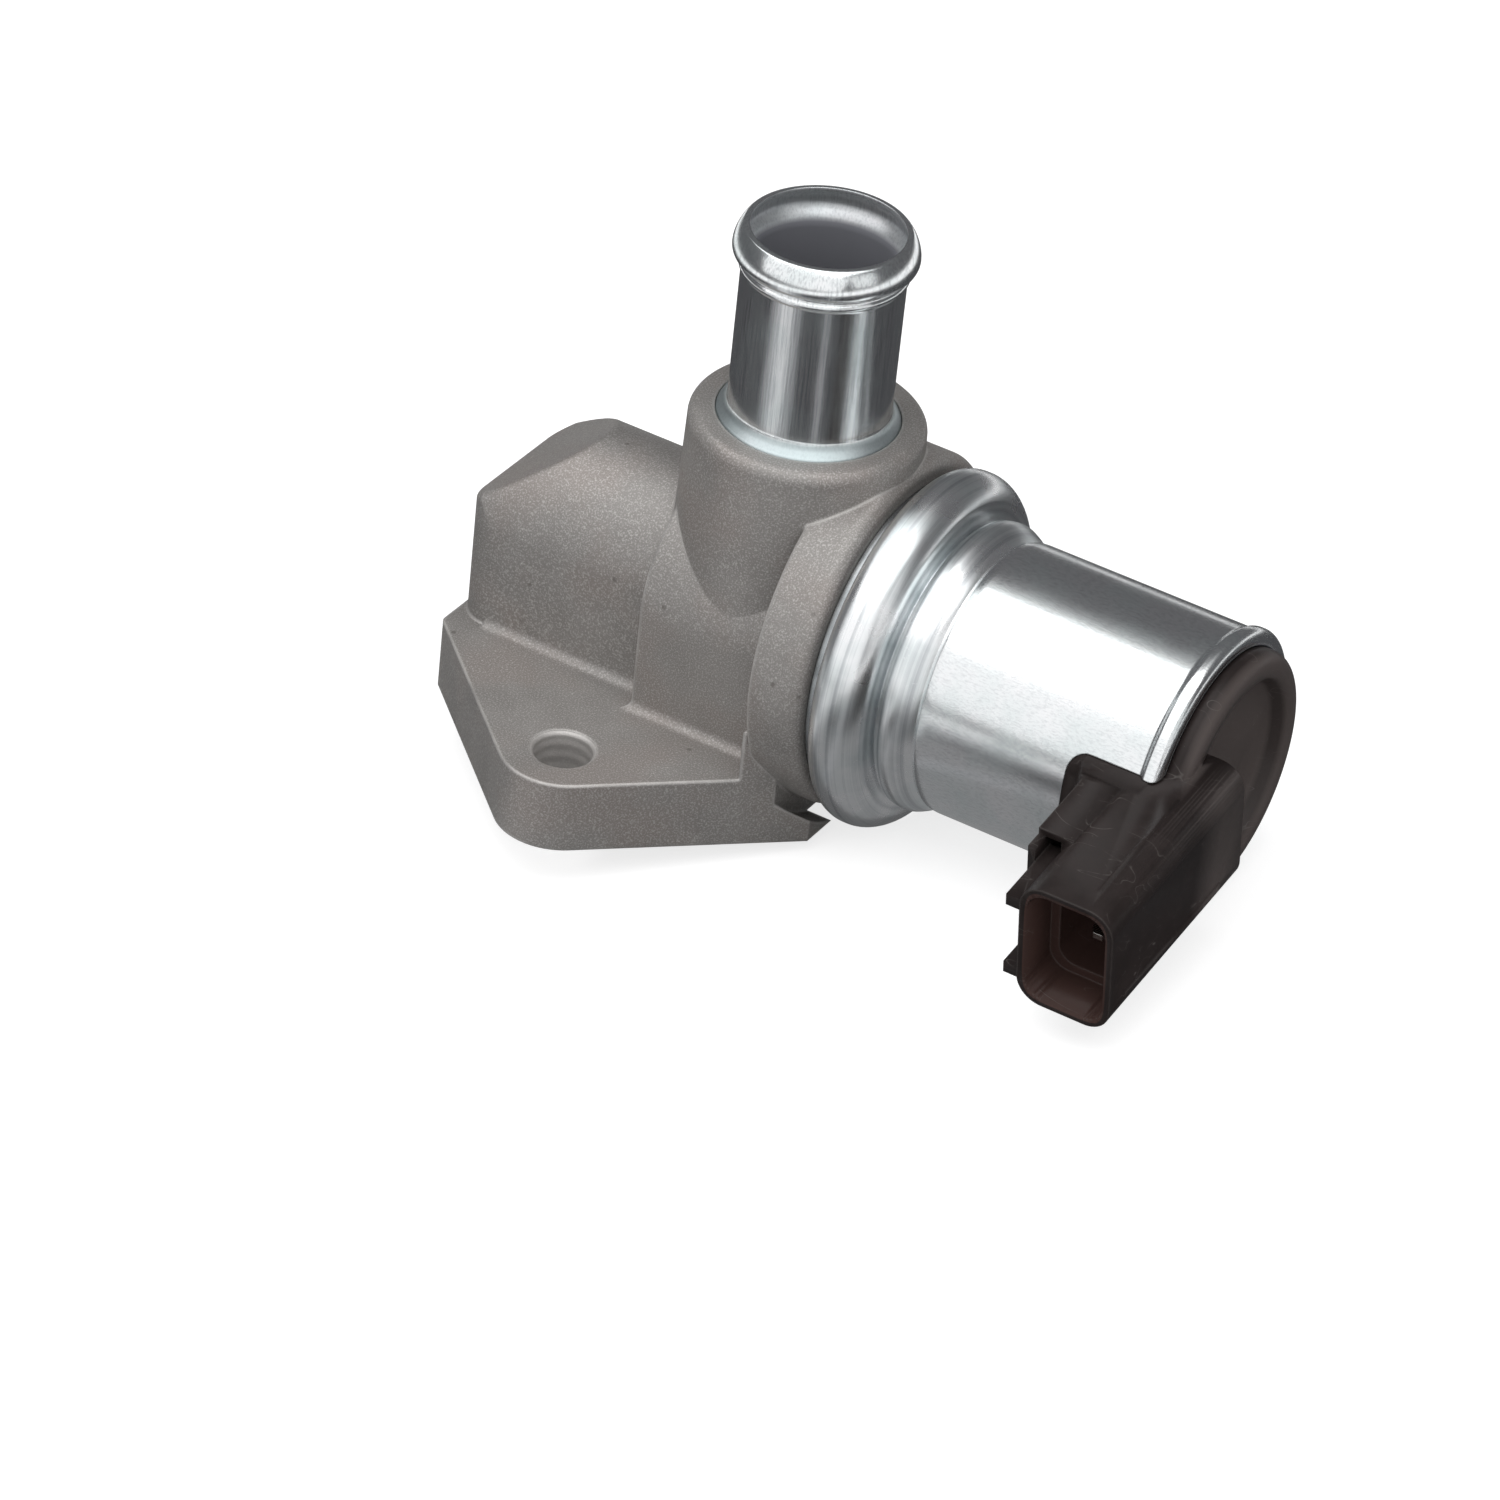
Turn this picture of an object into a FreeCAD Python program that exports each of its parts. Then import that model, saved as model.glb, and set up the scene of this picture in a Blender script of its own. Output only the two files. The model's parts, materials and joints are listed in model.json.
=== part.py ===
import FreeCAD, Part
import math
import os

import Sketcher

# Idle air control valve of a car engine: a die-cast body with a two-bolt flange, a hose
# nipple standing in its boss, and a solenoid in a drawn steel can that opens a poppet
# against a return spring.
# Frame: the origin is the middle of the flange's mounting face, between the two ports.
# +Z leaves that face, +X runs along the valve axis to the plug end, millimetres.

driving = {
    # casting: mounting flange
    "flange_width": 51.6,
    "flange_edge": 27.2,
    "flange_thickness": 9.0,
    "flange_corner_radius": 1.2,
    "bolt_spacing": 54.4,
    "bolt_lug_radius": 7.6,
    "bolt_hole": 7.0,
    "bolt_hole_chamfer": 0.45,
    "port_spacing": 25.4,
    "port_diameter": 16.0,
    # casting: blocks over the ports, round the valve axis
    "axis_height": 21.8,
    "outlet_half_width": 11.3,
    "outlet_corner_radius": 4.5,
    "outlet_slope_height": 24.3,
    "outlet_slope_angle": 36.0,
    "step_place": 1.5,
    "inlet_half_width": 15.0,
    "base_fillet": 1.2,
    "step_fillet": 1.0,
    "slope_edge_radius": 1.0,
    "head_place": 20.1,
    "head_radius": 21.8,
    "head_offset": 0.5,
    "head_thickness": 6.7,
    "head_edge_radius": 1.7,
    "web_place": 19.2,
    "web_height": 15.6,
    "web_thickness": 3.4,
    "relief_place": 22.5,
    "relief_radius": 21.0,
    "relief_width": 2.3,
    # casting: boss of the hose nipple
    "nipple_place": 12.5,
    "boss_radius": 13.8,
    "boss_height": 46.8,
    "boss_draft": 1.5,
    "boss_edge_radius": 1.4,
    "boss_recess_radius": 10.8,
    "boss_recess_depth": 3.0,
    "nipple_seat_depth": 8.0,
    "air_bore": 16.4,
    # casting: inside
    "casting_wall": 2.2,
    "outlet_bore": 17.2,
    "inlet_bore": 21.0,
    "register_bore": 26.0,
    "register_depth": 5.3,
    "partition_thickness": 3.8,
    "seat_hole": 12.4,
    "chamber_floor": 10.0,
    "chamber_clear": 0.6,
    "chamber_corner_radius": 2.0,
    "guide_inset": 2.3,
    "guide_boss_radius": 4.2,
    # clearances
    "press_clearance": 0.05,
    "face_clearance": 0.05,
    "running_clearance": 0.06,
    "armature_clearance": 0.1,
    # hose nipple
    "nipple_diameter": 19.05,
    "nipple_wall": 1.0,
    "nipple_height": 71.3,
    "nipple_collar_radius": 10.6,
    "nipple_collar_thickness": 2.3,
    "nipple_collar_rise": 0.9,
    "bead_radius": 10.75,
    "bead_width": 4.4,
    "bead_to_rim": 2.6,
    "bead_line_radius": 10.05,
    "bead_line_width": 0.5,
    "nipple_mouth": 17.9,
    # valve train
    "seat_radius": 8.0,
    "seat_lip_height": 0.9,
    "seat_lip_radius": 6.9,
    "seat_lip_width": 0.6,
    "seal_thickness": 1.2,
    "seal_outer_radius": 7.9,
    "seal_inner_radius": 5.6,
    "poppet_radius": 8.3,
    "poppet_thickness": 2.2,
    "poppet_hub_radius": 3.2,
    "poppet_hub_length": 3.4,
    "stem_diameter": 3.0,
    "stem_collar_radius": 2.4,
    "stem_collar_width": 1.0,
    "stem_end_gap": 0.6,
    "stem_rear_place": 52.4,
    "clip_thickness": 0.7,
    "clip_radius": 2.9,
    "clip_groove_depth": 0.35,
    "bush_radius": 2.5,
    "guide_bush_length": 7.0,
    "travel": 4.0,
    "spring_wire": 0.9,
    "spring_radius": 5.3,
    "spring_turns": 6.0,
    # solenoid
    "plate_step_radius": 19.5,
    "plate_step_width": 2.5,
    "plate_rim_radius": 20.4,
    "plate_rim_width": 2.5,
    "seal_groove_width": 2.1,
    "seal_groove_depth": 1.75,
    "seal_groove_inset": 1.2,
    "body_seal_section": 1.6,
    "front_bush_radius": 4.0,
    "front_bush_length": 7.5,
    "can_radius": 16.64,
    "can_wall": 1.1,
    "can_front_gap": 1.3,
    "can_flange_radius": 21.9,
    "can_flange_width": 5.5,
    "can_flange_curl": 2.0,
    "can_valley_radius": 16.4,
    "can_valley_width": 0.9,
    "can_bead_radius": 17.7,
    "can_bead_width": 3.6,
    "can_barrel_place": 39.9,
    "can_end_place": 69.7,
    "can_lip_radius": 17.1,
    "can_lip_width": 2.2,
    "notch_place": 58.6,
    "notch_half_height": 8.9,
    "notch_corner_radius": 2.4,
    "tube_bore": 12.2,
    "tube_wall": 0.6,
    "armature_place": 32.6,
    "armature_length": 9.6,
    "shim_thickness": 0.35,
    "shim_radius": 4.5,
    "stop_gap": 0.3,
    "rear_bush_length": 7.0,
    "pole_end_place": 57.7,
    "bobbin_wall": 1.0,
    "bobbin_flange_radius": 14.7,
    "bobbin_flange_thickness": 1.4,
    "winding_radius": 13.8,
    "washer_thickness": 2.1,
    "cap_seal_thickness": 0.7,
    # end cap with the plug socket
    "cap_ring_radius": 15.2,
    "cap_end_place": 72.3,
    "cap_edge_radius": 1.8,
    "cap_recess_radius": 12.4,
    "cap_recess_depth": 2.6,
    "connector_tilt": 9.0,
    "connector_place": 64.8,
    "connector_width": 11.9,
    "connector_height": 17.2,
    "connector_corner_radius": 3.2,
    "connector_start": 6.5,
    "connector_reach": 36.0,
    "connector_wall": 1.5,
    "socket_step": 0.6,
    "socket_mouth_depth": 5.7,
    "socket_depth": 16.0,
    "notch_fill_start": 10.0,
    "neck_place": 61.9,
    "neck_half_height": 8.4,
    "neck_slope": 1.9,
    "neck_slope_rise": 2.8,
    "neck_wall": 0.9,
    "neck_top_reach": 27.0,
    "neck_reach": 29.3,
    "neck_pocket_depth": 7.0,
    "rib_height": 2.0,
    "rib_thickness": 1.6,
    "upper_rib_place": 4.7,
    "lower_rib_place": -5.5,
    "rib_inset": 0.5,
    "ridge_place": 72.9,
    "ridge_width": 0.5,
    "ridge_height": 0.15,
    "ridge_start": 15.0,
    "strip_place": -5.2,
    "strip_width": 1.0,
    "strip_height": 0.2,
    "strip_start": 11.4,
    "strip_inset": 3.4,
    "terminal_width": 2.3,
    "terminal_thickness": 0.8,
    "terminal_pitch": 5.2,
    "terminal_root": 12.2,
    "terminal_reach": 28.5,
}

doc = FreeCAD.newDocument("idle_air_control_valve")
sheet = doc.addObject("Spreadsheet::Sheet", "Dims")
for row, (alias, number) in enumerate(driving.items(), start=1):
    sheet.set("A%d" % row, alias)
    sheet.set("B%d" % row, str(number))
    sheet.setAlias("B%d" % row, alias)
doc.recompute()


class Size:
    # A length that knows its number and the expression on the sheet that gives it.
    def __init__(self, number, text):
        self.number = float(number)
        self.text = text

    def __add__(self, other):
        other = as_size(other)
        return Size(self.number + other.number, "(%s + %s)" % (self.text, other.text))

    def __radd__(self, other):
        return as_size(other) + self

    def __sub__(self, other):
        other = as_size(other)
        return Size(self.number - other.number, "(%s - %s)" % (self.text, other.text))

    def __rsub__(self, other):
        return as_size(other) - self

    def __mul__(self, other):
        other = as_size(other)
        return Size(self.number * other.number, "(%s * %s)" % (self.text, other.text))

    def __rmul__(self, other):
        return as_size(other) * self

    def __truediv__(self, other):
        other = as_size(other)
        return Size(self.number / other.number, "(%s / %s)" % (self.text, other.text))

    def __neg__(self):
        return Size(-self.number, "(0 - %s)" % self.text)


def as_size(value):
    return value if isinstance(value, Size) else Size(value, repr(float(value)))


def root(value):
    return Size(math.sqrt(value.number), "sqrt(%s)" % value.text)


def tangent(angle):
    return Size(math.tan(math.radians(angle.number)), "tan(%s * 1 deg)" % angle.text)


class Sizes:
    pass


dim = Sizes()
for alias, number in driving.items():
    setattr(dim, alias, Size(number, "Dims." + alias))

zero = Size(0, "0")


def new_body(name):
    body = doc.addObject("PartDesign::Body", name)
    body.Label = name
    return body


def axis_body(name, tilted=False):
    # A body whose own X axis is the valve axis; the tilted ones turn with the plug socket.
    body = new_body(name)
    body.Placement = FreeCAD.Placement(
        FreeCAD.Vector(0, 0, dim.axis_height.number),
        FreeCAD.Rotation(FreeCAD.Vector(1, 0, 0), dim.connector_tilt.number if tilted else 0))
    body.setExpression("Placement.Base.z", dim.axis_height.text)
    if tilted:
        body.setExpression("Placement.Rotation.Angle", dim.connector_tilt.text)
    return body


def new_sketch(body, name, role, offset=None):
    sketch = body.newObject("Sketcher::SketchObject", name)
    plane = [feature for feature in body.Origin.OriginFeatures if feature.Role == role][0]
    sketch.AttachmentSupport = [(plane, "")]
    sketch.MapMode = "FlatFace"
    if offset is not None:
        sketch.AttachmentOffset = FreeCAD.Placement(
            FreeCAD.Vector(0, 0, offset.number), FreeCAD.Rotation())
        sketch.setExpression("AttachmentOffset.Base.z", offset.text)
    return sketch


def fix(sketch, kind, geometry, end, size):
    place = sketch.addConstraint(
        Sketcher.Constraint(kind, -1, 1, geometry, end, size.number))
    sketch.setExpression("Constraints[%d]" % place, size.text)


def fix_point(sketch, geometry, end, point):
    fix(sketch, "DistanceX", geometry, end, as_size(point[0]))
    fix(sketch, "DistanceY", geometry, end, as_size(point[1]))


def vector(point):
    return FreeCAD.Vector(as_size(point[0]).number, as_size(point[1]).number, 0)


def add_outline(sketch, points):
    # A closed outline, every corner tied to the sheet. A corner given as (x, y, centre)
    # is joined to the next by an arc about that centre, counterclockwise.
    first = sketch.GeometryCount
    count = len(points)
    for number, point in enumerate(points):
        start = vector(point)
        end = vector(points[(number + 1) % count])
        if len(point) == 2:
            sketch.addGeometry(Part.LineSegment(start, end), False)
            continue
        centre = vector(point[2])
        rays = (start - centre, end - centre)
        circle = Part.Circle(centre, FreeCAD.Vector(0, 0, 1), rays[0].Length)
        angles = [math.atan2(ray.y, ray.x) for ray in rays]
        sketch.addGeometry(Part.ArcOfCircle(circle, angles[0], angles[1]), False)
    for number, point in enumerate(points):
        after = (number + 1) % count
        sketch.addConstraint(
            Sketcher.Constraint("Coincident", first + number, 2, first + after, 1))
        before = points[number - 1]
        if len(before) == 2:
            fix_point(sketch, first + number, 1, point)
        else:
            # The arc before it keeps the corner at its radius: one distance is enough.
            ray = vector(point) - vector(before[2])
            across = abs(ray.x) > abs(ray.y)
            fix(sketch, "DistanceY" if across else "DistanceX", first + number, 1,
                as_size(point[1 if across else 0]))
        if len(point) == 3:
            fix_point(sketch, first + number, 3, point[2])


def add_circle(sketch, centre, radius):
    geometry = sketch.addGeometry(
        Part.Circle(vector(centre), FreeCAD.Vector(0, 0, 1), radius.number), False)
    fix_point(sketch, geometry, 3, centre)
    place = sketch.addConstraint(Sketcher.Constraint("Radius", geometry, radius.number))
    sketch.setExpression("Constraints[%d]" % place, radius.text)


def add_arch(sketch, half_width, base, centre_height):
    # A straight-sided block with a half-round top.
    add_outline(sketch, [(half_width, centre_height, (zero, centre_height)),
                         (-half_width, centre_height),
                         (-half_width, base), (half_width, base)])


def add_rounded_box(sketch, low_x, high_x, low_y, high_y, corner):
    in_x = (low_x + corner, high_x - corner)
    in_y = (low_y + corner, high_y - corner)
    add_outline(sketch, [(in_x[0], low_y), (in_x[1], low_y, (in_x[1], in_y[0])),
                         (high_x, in_y[0]), (high_x, in_y[1], (in_x[1], in_y[1])),
                         (in_x[1], high_y), (in_x[0], high_y, (in_x[0], in_y[1])),
                         (low_x, in_y[1]), (low_x, in_y[0], (in_x[0], in_y[0]))])


def pad(body, name, sketch, length):
    feature = body.newObject("PartDesign::Pad", name)
    feature.Profile = sketch
    feature.Length = length.number
    feature.setExpression("Length", length.text)
    doc.recompute()
    return feature


def pocket(body, name, sketch, length, reverse=False, both_ways=False):
    before = body.Shape.Volume
    feature = body.newObject("PartDesign::Pocket", name)
    feature.Profile = sketch
    feature.Reversed = reverse
    if both_ways:
        feature.SideType = "Symmetric"
    feature.Length = as_size(length).number
    feature.setExpression("Length", as_size(length).text)
    doc.recompute()
    if body.Shape.Volume >= before - 0.01:
        raise RuntimeError("%s removes nothing" % name)
    return feature


def turn(body, name, points, height=zero, cut=False):
    # Turns (place along X, radius) corners round the line of X at that height. A corner
    # with a third point is joined to the next by an arc about it, as in add_outline.
    sketch = new_sketch(body, name + "_profile", "XZ_Plane")
    add_outline(sketch, [
        (point[0], point[1] + height)
        + tuple((centre[0], centre[1] + height) for centre in point[2:])
        for point in points])
    axis = sketch.addGeometry(
        Part.LineSegment(vector((0, height)), vector((10, height))), True)
    fix_point(sketch, axis, 1, (0, height))
    fix_point(sketch, axis, 2, (10, height))
    return revolve(body, name, sketch, cut)


def turn_upright(body, name, points, place, cut=False):
    # Turns (radius, height) corners round the upright line at that place along X.
    sketch = new_sketch(body, name + "_profile", "XZ_Plane")
    add_outline(sketch, [(radius + place, height) for radius, height in points])
    axis = sketch.addGeometry(
        Part.LineSegment(vector((place, 0)), vector((place, 10))), True)
    fix_point(sketch, axis, 1, (place, 0))
    fix_point(sketch, axis, 2, (place, 10))
    return revolve(body, name, sketch, cut)


def revolve(body, name, sketch, cut):
    before = body.Shape.Volume if cut else 0
    kind = "PartDesign::Groove" if cut else "PartDesign::Revolution"
    feature = body.newObject(kind, name)
    feature.Profile = sketch
    feature.ReferenceAxis = (sketch, ["Axis0"])
    feature.Angle = 360
    doc.recompute()
    if cut and body.Shape.Volume >= before - 0.01:
        raise RuntimeError("%s removes nothing" % name)
    return feature


def round_edges(body, name, radius, wanted, kind="PartDesign::Fillet"):
    # Rounds, or chamfers, the edges of the body as it stands that wanted(edge) picks.
    base = body.Tip
    names = ["Edge%d" % number for number, edge in enumerate(base.Shape.Edges, start=1)
             if wanted(edge)]
    if not names:
        raise RuntimeError("%s finds no edge" % name)
    feature = body.newObject(kind, name)
    feature.Base = (base, names)
    size = "Radius" if kind == "PartDesign::Fillet" else "Size"
    setattr(feature, size, radius.number)
    feature.setExpression(size, radius.text)
    doc.recompute()
    return feature


def curve_of(edge):
    # A blend can leave an edge whose curve has no class of its own.
    try:
        return edge.Curve
    except TypeError:
        return None


def is_circle(edge, along, radius, axis="x"):
    # A round edge about the valve axis, or about an upright one, at that place and radius.
    if not isinstance(curve_of(edge), Part.Circle):
        return False
    centre = edge.Curve.Center
    place = centre.x if axis == "x" else centre.z
    turned = abs(getattr(edge.Curve.Axis, axis)) > 0.99
    return (turned and abs(place - along.number) < 0.02
            and abs(edge.Curve.Radius - radius.number) < 0.02)


def is_upright(edge, x, y):
    # A straight upright edge at that place, to a tenth of a millimetre.
    if not isinstance(curve_of(edge), Part.Line):
        return False
    start = edge.Vertexes[0].Point
    end = edge.Vertexes[-1].Point
    return (abs(start.x - end.x) < 0.01 and abs(start.y - end.y) < 0.01
            and abs(start.x - x.number) < 0.1 and abs(abs(start.y) - abs(y.number)) < 0.1)


# Places worked out from the driving sizes
half_width = dim.flange_width / 2
half_edge = dim.flange_edge / 2
bolt_place = dim.bolt_spacing / 2
port_place = dim.port_spacing / 2
head_end = dim.head_place + dim.head_thickness
guide_place = dim.guide_inset - half_width
slant_rise = bolt_place - half_edge
slant_square = half_width * half_width + slant_rise * slant_rise
slant_length = root(slant_square - dim.bolt_lug_radius * dim.bolt_lug_radius)
slant_x = (dim.bolt_lug_radius * half_width + slant_length * slant_rise) / slant_square
slant_y = (slant_length * half_width - dim.bolt_lug_radius * slant_rise) / slant_square
seat_face = dim.step_place + dim.seat_lip_height
stem_radius = dim.stem_diameter / 2
stem_front_place = guide_place + dim.stem_end_gap
poppet_front = seat_face + dim.face_clearance
poppet_disc = poppet_front + dim.seal_thickness
poppet_back = poppet_disc + dim.poppet_thickness
hub_end = poppet_back + dim.poppet_hub_length
plate_front = head_end - dim.register_depth + dim.face_clearance
plate_rim = head_end + dim.plate_step_width
plate_end = plate_rim + dim.plate_rim_width
tube_radius = dim.tube_bore / 2
armature_end = dim.armature_place + dim.armature_length
pole_face = armature_end + dim.shim_thickness + dim.travel + dim.stop_gap
washer_front = dim.pole_end_place - dim.washer_thickness
can_inner = dim.can_radius - dim.can_wall
cap_front = dim.pole_end_place + dim.cap_seal_thickness + 2 * dim.face_clearance
connector_middle = dim.connector_place + dim.connector_width / 2


def slant_at(place):
    # Half the flange's width in Y at that place along X, on its slanted sides.
    return half_edge + (half_width - place) * slant_x / slant_y


def make_valve_body():
    body = new_body("valve_body")

    tangent_x = dim.bolt_lug_radius * slant_x
    tangent_y = bolt_place + dim.bolt_lug_radius * slant_y
    sketch = new_sketch(body, "flange_outline", "XY_Plane")
    add_outline(sketch, [(tangent_x, tangent_y, (zero, bolt_place)),
                         (-tangent_x, tangent_y),
                         (-half_width, half_edge), (-half_width, -half_edge),
                         (-tangent_x, -tangent_y, (zero, -bolt_place)),
                         (tangent_x, -tangent_y),
                         (half_width, -half_edge), (half_width, half_edge)])
    pad(body, "flange", sketch, dim.flange_thickness)

    sketch = new_sketch(body, "outlet_block_outline", "YZ_Plane", -half_width)
    add_arch(sketch, dim.outlet_half_width, zero, dim.axis_height)
    pad(body, "outlet_block", sketch, half_width + dim.step_place)

    # The sloping end of the outlet block
    sketch = new_sketch(body, "outlet_slope_outline", "XZ_Plane")
    block_top = dim.axis_height + dim.outlet_half_width + 1
    slope_run = (block_top - dim.outlet_slope_height) / tangent(dim.outlet_slope_angle)
    add_outline(sketch, [(-half_width - 1, dim.outlet_slope_height
                          - tangent(dim.outlet_slope_angle)),
                         (slope_run - half_width, block_top),
                         (-half_width - 1, block_top)])
    pocket(body, "outlet_slope", sketch, dim.outlet_half_width * 4, both_ways=True)
    sketch = new_sketch(body, "inlet_block_outline", "YZ_Plane", dim.step_place)
    add_arch(sketch, dim.inlet_half_width, zero, dim.axis_height)
    pad(body, "inlet_block", sketch, dim.head_place + 1 - dim.step_place)

    sketch = new_sketch(body, "web_outline", "XY_Plane")
    web_end = dim.web_place + dim.web_thickness
    add_outline(sketch, [(dim.web_place, -slant_at(dim.web_place)),
                         (web_end, -slant_at(web_end)),
                         (web_end, slant_at(web_end)),
                         (dim.web_place, slant_at(dim.web_place))])
    pad(body, "head_web", sketch, dim.web_height)

    # The blocks' feet on the flange, then the outlet block's rounded end above them
    def is_foot(edge):
        middle = edge.CenterOfMass
        heights = [vertex.Point.z for vertex in edge.Vertexes] + [middle.z]
        if max(abs(height - dim.flange_thickness.number) for height in heights) > 0.01:
            return False
        sides = (dim.outlet_half_width.number, dim.inlet_half_width.number)
        beside = min(abs(abs(middle.y) - side) for side in sides) < 0.1
        at_step = abs(middle.x - dim.step_place.number) < 0.1
        return middle.x < dim.head_place.number and (beside or at_step)

    round_edges(body, "block_feet", dim.base_fillet, is_foot)
    corner_x = dim.outlet_corner_radius - half_width
    corner_y = dim.outlet_half_width - dim.outlet_corner_radius
    clear_x = -half_width - 1
    clear_y = dim.outlet_half_width + 2 * dim.base_fillet
    sketch = new_sketch(body, "outlet_corners_outline", "XY_Plane", dim.flange_thickness)
    add_outline(sketch, [(corner_x, dim.outlet_half_width, (corner_x, corner_y)),
                         (-half_width, corner_y), (clear_x, corner_y),
                         (clear_x, clear_y), (corner_x, clear_y)])
    add_outline(sketch, [(-half_width, -corner_y, (corner_x, -corner_y)),
                         (corner_x, -dim.outlet_half_width), (corner_x, -clear_y),
                         (clear_x, -clear_y), (clear_x, -corner_y)])
    pocket(body, "outlet_corners", sketch, dim.boss_height, reverse=True)

    # Clearance turned in the flange and the web for the can's flange
    relief_outer = dim.relief_radius + dim.relief_width
    relief_end = half_width + dim.relief_width
    turn(body, "head_relief", [
        (dim.relief_place, dim.relief_radius), (dim.relief_place, relief_outer),
        (relief_end, relief_outer), (relief_end, zero), (head_end, zero),
        (head_end, dim.relief_radius)],
        dim.axis_height, cut=True)

    sketch = new_sketch(body, "head_outline", "YZ_Plane", dim.head_place)
    add_circle(sketch, (dim.head_offset, dim.axis_height + dim.head_offset), dim.head_radius)
    pad(body, "head", sketch, dim.head_thickness)
    round_edges(body, "head_edge", dim.head_edge_radius,
                lambda edge: is_circle(edge, head_end, dim.head_radius))
    turn_upright(body, "nipple_boss", [
        (zero, dim.axis_height),
        (dim.boss_radius + (dim.boss_height - dim.axis_height) * tangent(dim.boss_draft),
         dim.axis_height),
        (dim.boss_radius, dim.boss_height),
        (zero, dim.boss_height)], dim.nipple_place)
    round_edges(body, "boss_edge", dim.boss_edge_radius,
                lambda edge: is_circle(edge, dim.boss_height, dim.boss_radius, "z"))

    round_edges(body, "flange_corners", dim.flange_corner_radius,
                lambda edge: is_upright(edge, -half_width, half_edge))

    def is_step_foot(edge):
        box = edge.BoundBox
        place = dim.step_place.number
        return (abs(box.XMin - place) < 0.02 and abs(box.XMax - place) < 0.02
                and box.ZMin > dim.flange_thickness.number - 0.1
                and max(box.YMax, -box.YMin) < dim.outlet_half_width.number + 0.1)

    round_edges(body, "step_foot", dim.step_fillet, is_step_foot)

    def is_slope_edge(edge):
        box = edge.BoundBox
        top = dim.axis_height + dim.outlet_half_width
        return (box.ZMin > dim.outlet_slope_height.number - 0.4
                and box.ZMax < top.number + 0.1 and box.XMin < corner_x.number + 0.1)

    round_edges(body, "slope_edges", dim.slope_edge_radius, is_slope_edge)

    # Inside: ports, chambers and the partition that holds the seat
    port_radius = dim.port_diameter / 2
    partition_front = dim.step_place - dim.partition_thickness
    register_place = head_end - dim.register_depth
    chamber_half = port_radius + dim.chamber_clear
    for name, place, low_x, high_x in (
            ("outlet", -port_place, -port_place - chamber_half, partition_front),
            ("inlet", port_place, dim.step_place, register_place)):
        sketch = new_sketch(body, name + "_port_outline", "XY_Plane")
        add_circle(sketch, (place, zero), port_radius)
        pocket(body, name + "_port", sketch, dim.chamber_floor, reverse=True)
        sketch = new_sketch(body, name + "_floor_outline", "XY_Plane", dim.chamber_floor)
        add_rounded_box(sketch, low_x, high_x, -chamber_half, chamber_half,
                        dim.chamber_corner_radius)
        pocket(body, name + "_floor", sketch, dim.axis_height - dim.chamber_floor,
               reverse=True)
    outlet_radius = dim.outlet_bore / 2
    guide_radius = dim.bush_radius + dim.press_clearance
    slope = tangent(dim.outlet_slope_angle)
    slant_wall = dim.casting_wall * root(1 + slope * slope)
    slope_offset = dim.outlet_slope_height - dim.axis_height - slant_wall

    def cone_place(radius):
        # Where a bore of that radius keeps the casting's wall under the sloping end.
        return (radius - slope_offset) / slope - half_width

    cone_tip = cone_place(guide_radius)
    turn(body, "outlet_chamber", [
        (guide_place, zero), (guide_place, guide_radius),
        (cone_tip, guide_radius), (cone_place(outlet_radius), outlet_radius),
        (partition_front, outlet_radius), (partition_front, zero)],
        dim.axis_height, cut=True)
    guide_boss_end = guide_place + dim.guide_bush_length - dim.chamber_clear
    turn(body, "guide_boss", [
        (guide_place, guide_radius), (guide_place, dim.guide_boss_radius),
        (guide_boss_end, dim.guide_boss_radius), (guide_boss_end, guide_radius)],
        dim.axis_height)
    seat_hole = dim.seat_hole / 2
    seat_back = dim.step_place - dim.partition_thickness / 2
    seat_pocket = dim.seat_radius + dim.press_clearance
    inlet_radius = dim.inlet_bore / 2
    register_radius = dim.register_bore / 2
    turn(body, "inlet_chamber", [
        (partition_front - 1, zero), (partition_front - 1, seat_hole),
        (seat_back, seat_hole), (seat_back, seat_pocket),
        (dim.step_place, seat_pocket), (dim.step_place, inlet_radius),
        (register_place, inlet_radius), (register_place, register_radius),
        (head_end + 1, register_radius), (head_end + 1, zero)],
        dim.axis_height, cut=True)
    recess_floor = dim.boss_height - dim.boss_recess_depth
    nipple_seat = recess_floor - dim.nipple_seat_depth
    nipple_hole = dim.nipple_diameter / 2 + dim.press_clearance
    turn_upright(body, "nipple_bore", [
        (zero, dim.axis_height), (dim.air_bore / 2, dim.axis_height),
        (dim.air_bore / 2, nipple_seat), (nipple_hole, nipple_seat),
        (nipple_hole, recess_floor), (dim.boss_recess_radius, recess_floor),
        (dim.boss_recess_radius, dim.boss_height + 1), (zero, dim.boss_height + 1)],
        dim.nipple_place, cut=True)

    sketch = new_sketch(body, "bolt_hole_outline", "XY_Plane")
    for place in (-bolt_place, bolt_place):
        add_circle(sketch, (zero, place), dim.bolt_hole / 2)
    pocket(body, "bolt_holes", sketch, dim.flange_thickness, reverse=True)
    round_edges(body, "bolt_hole_chamfers", dim.bolt_hole_chamfer,
                lambda edge: is_circle(edge, dim.flange_thickness, dim.bolt_hole / 2, "z"),
                "PartDesign::Chamfer")
    return body


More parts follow.
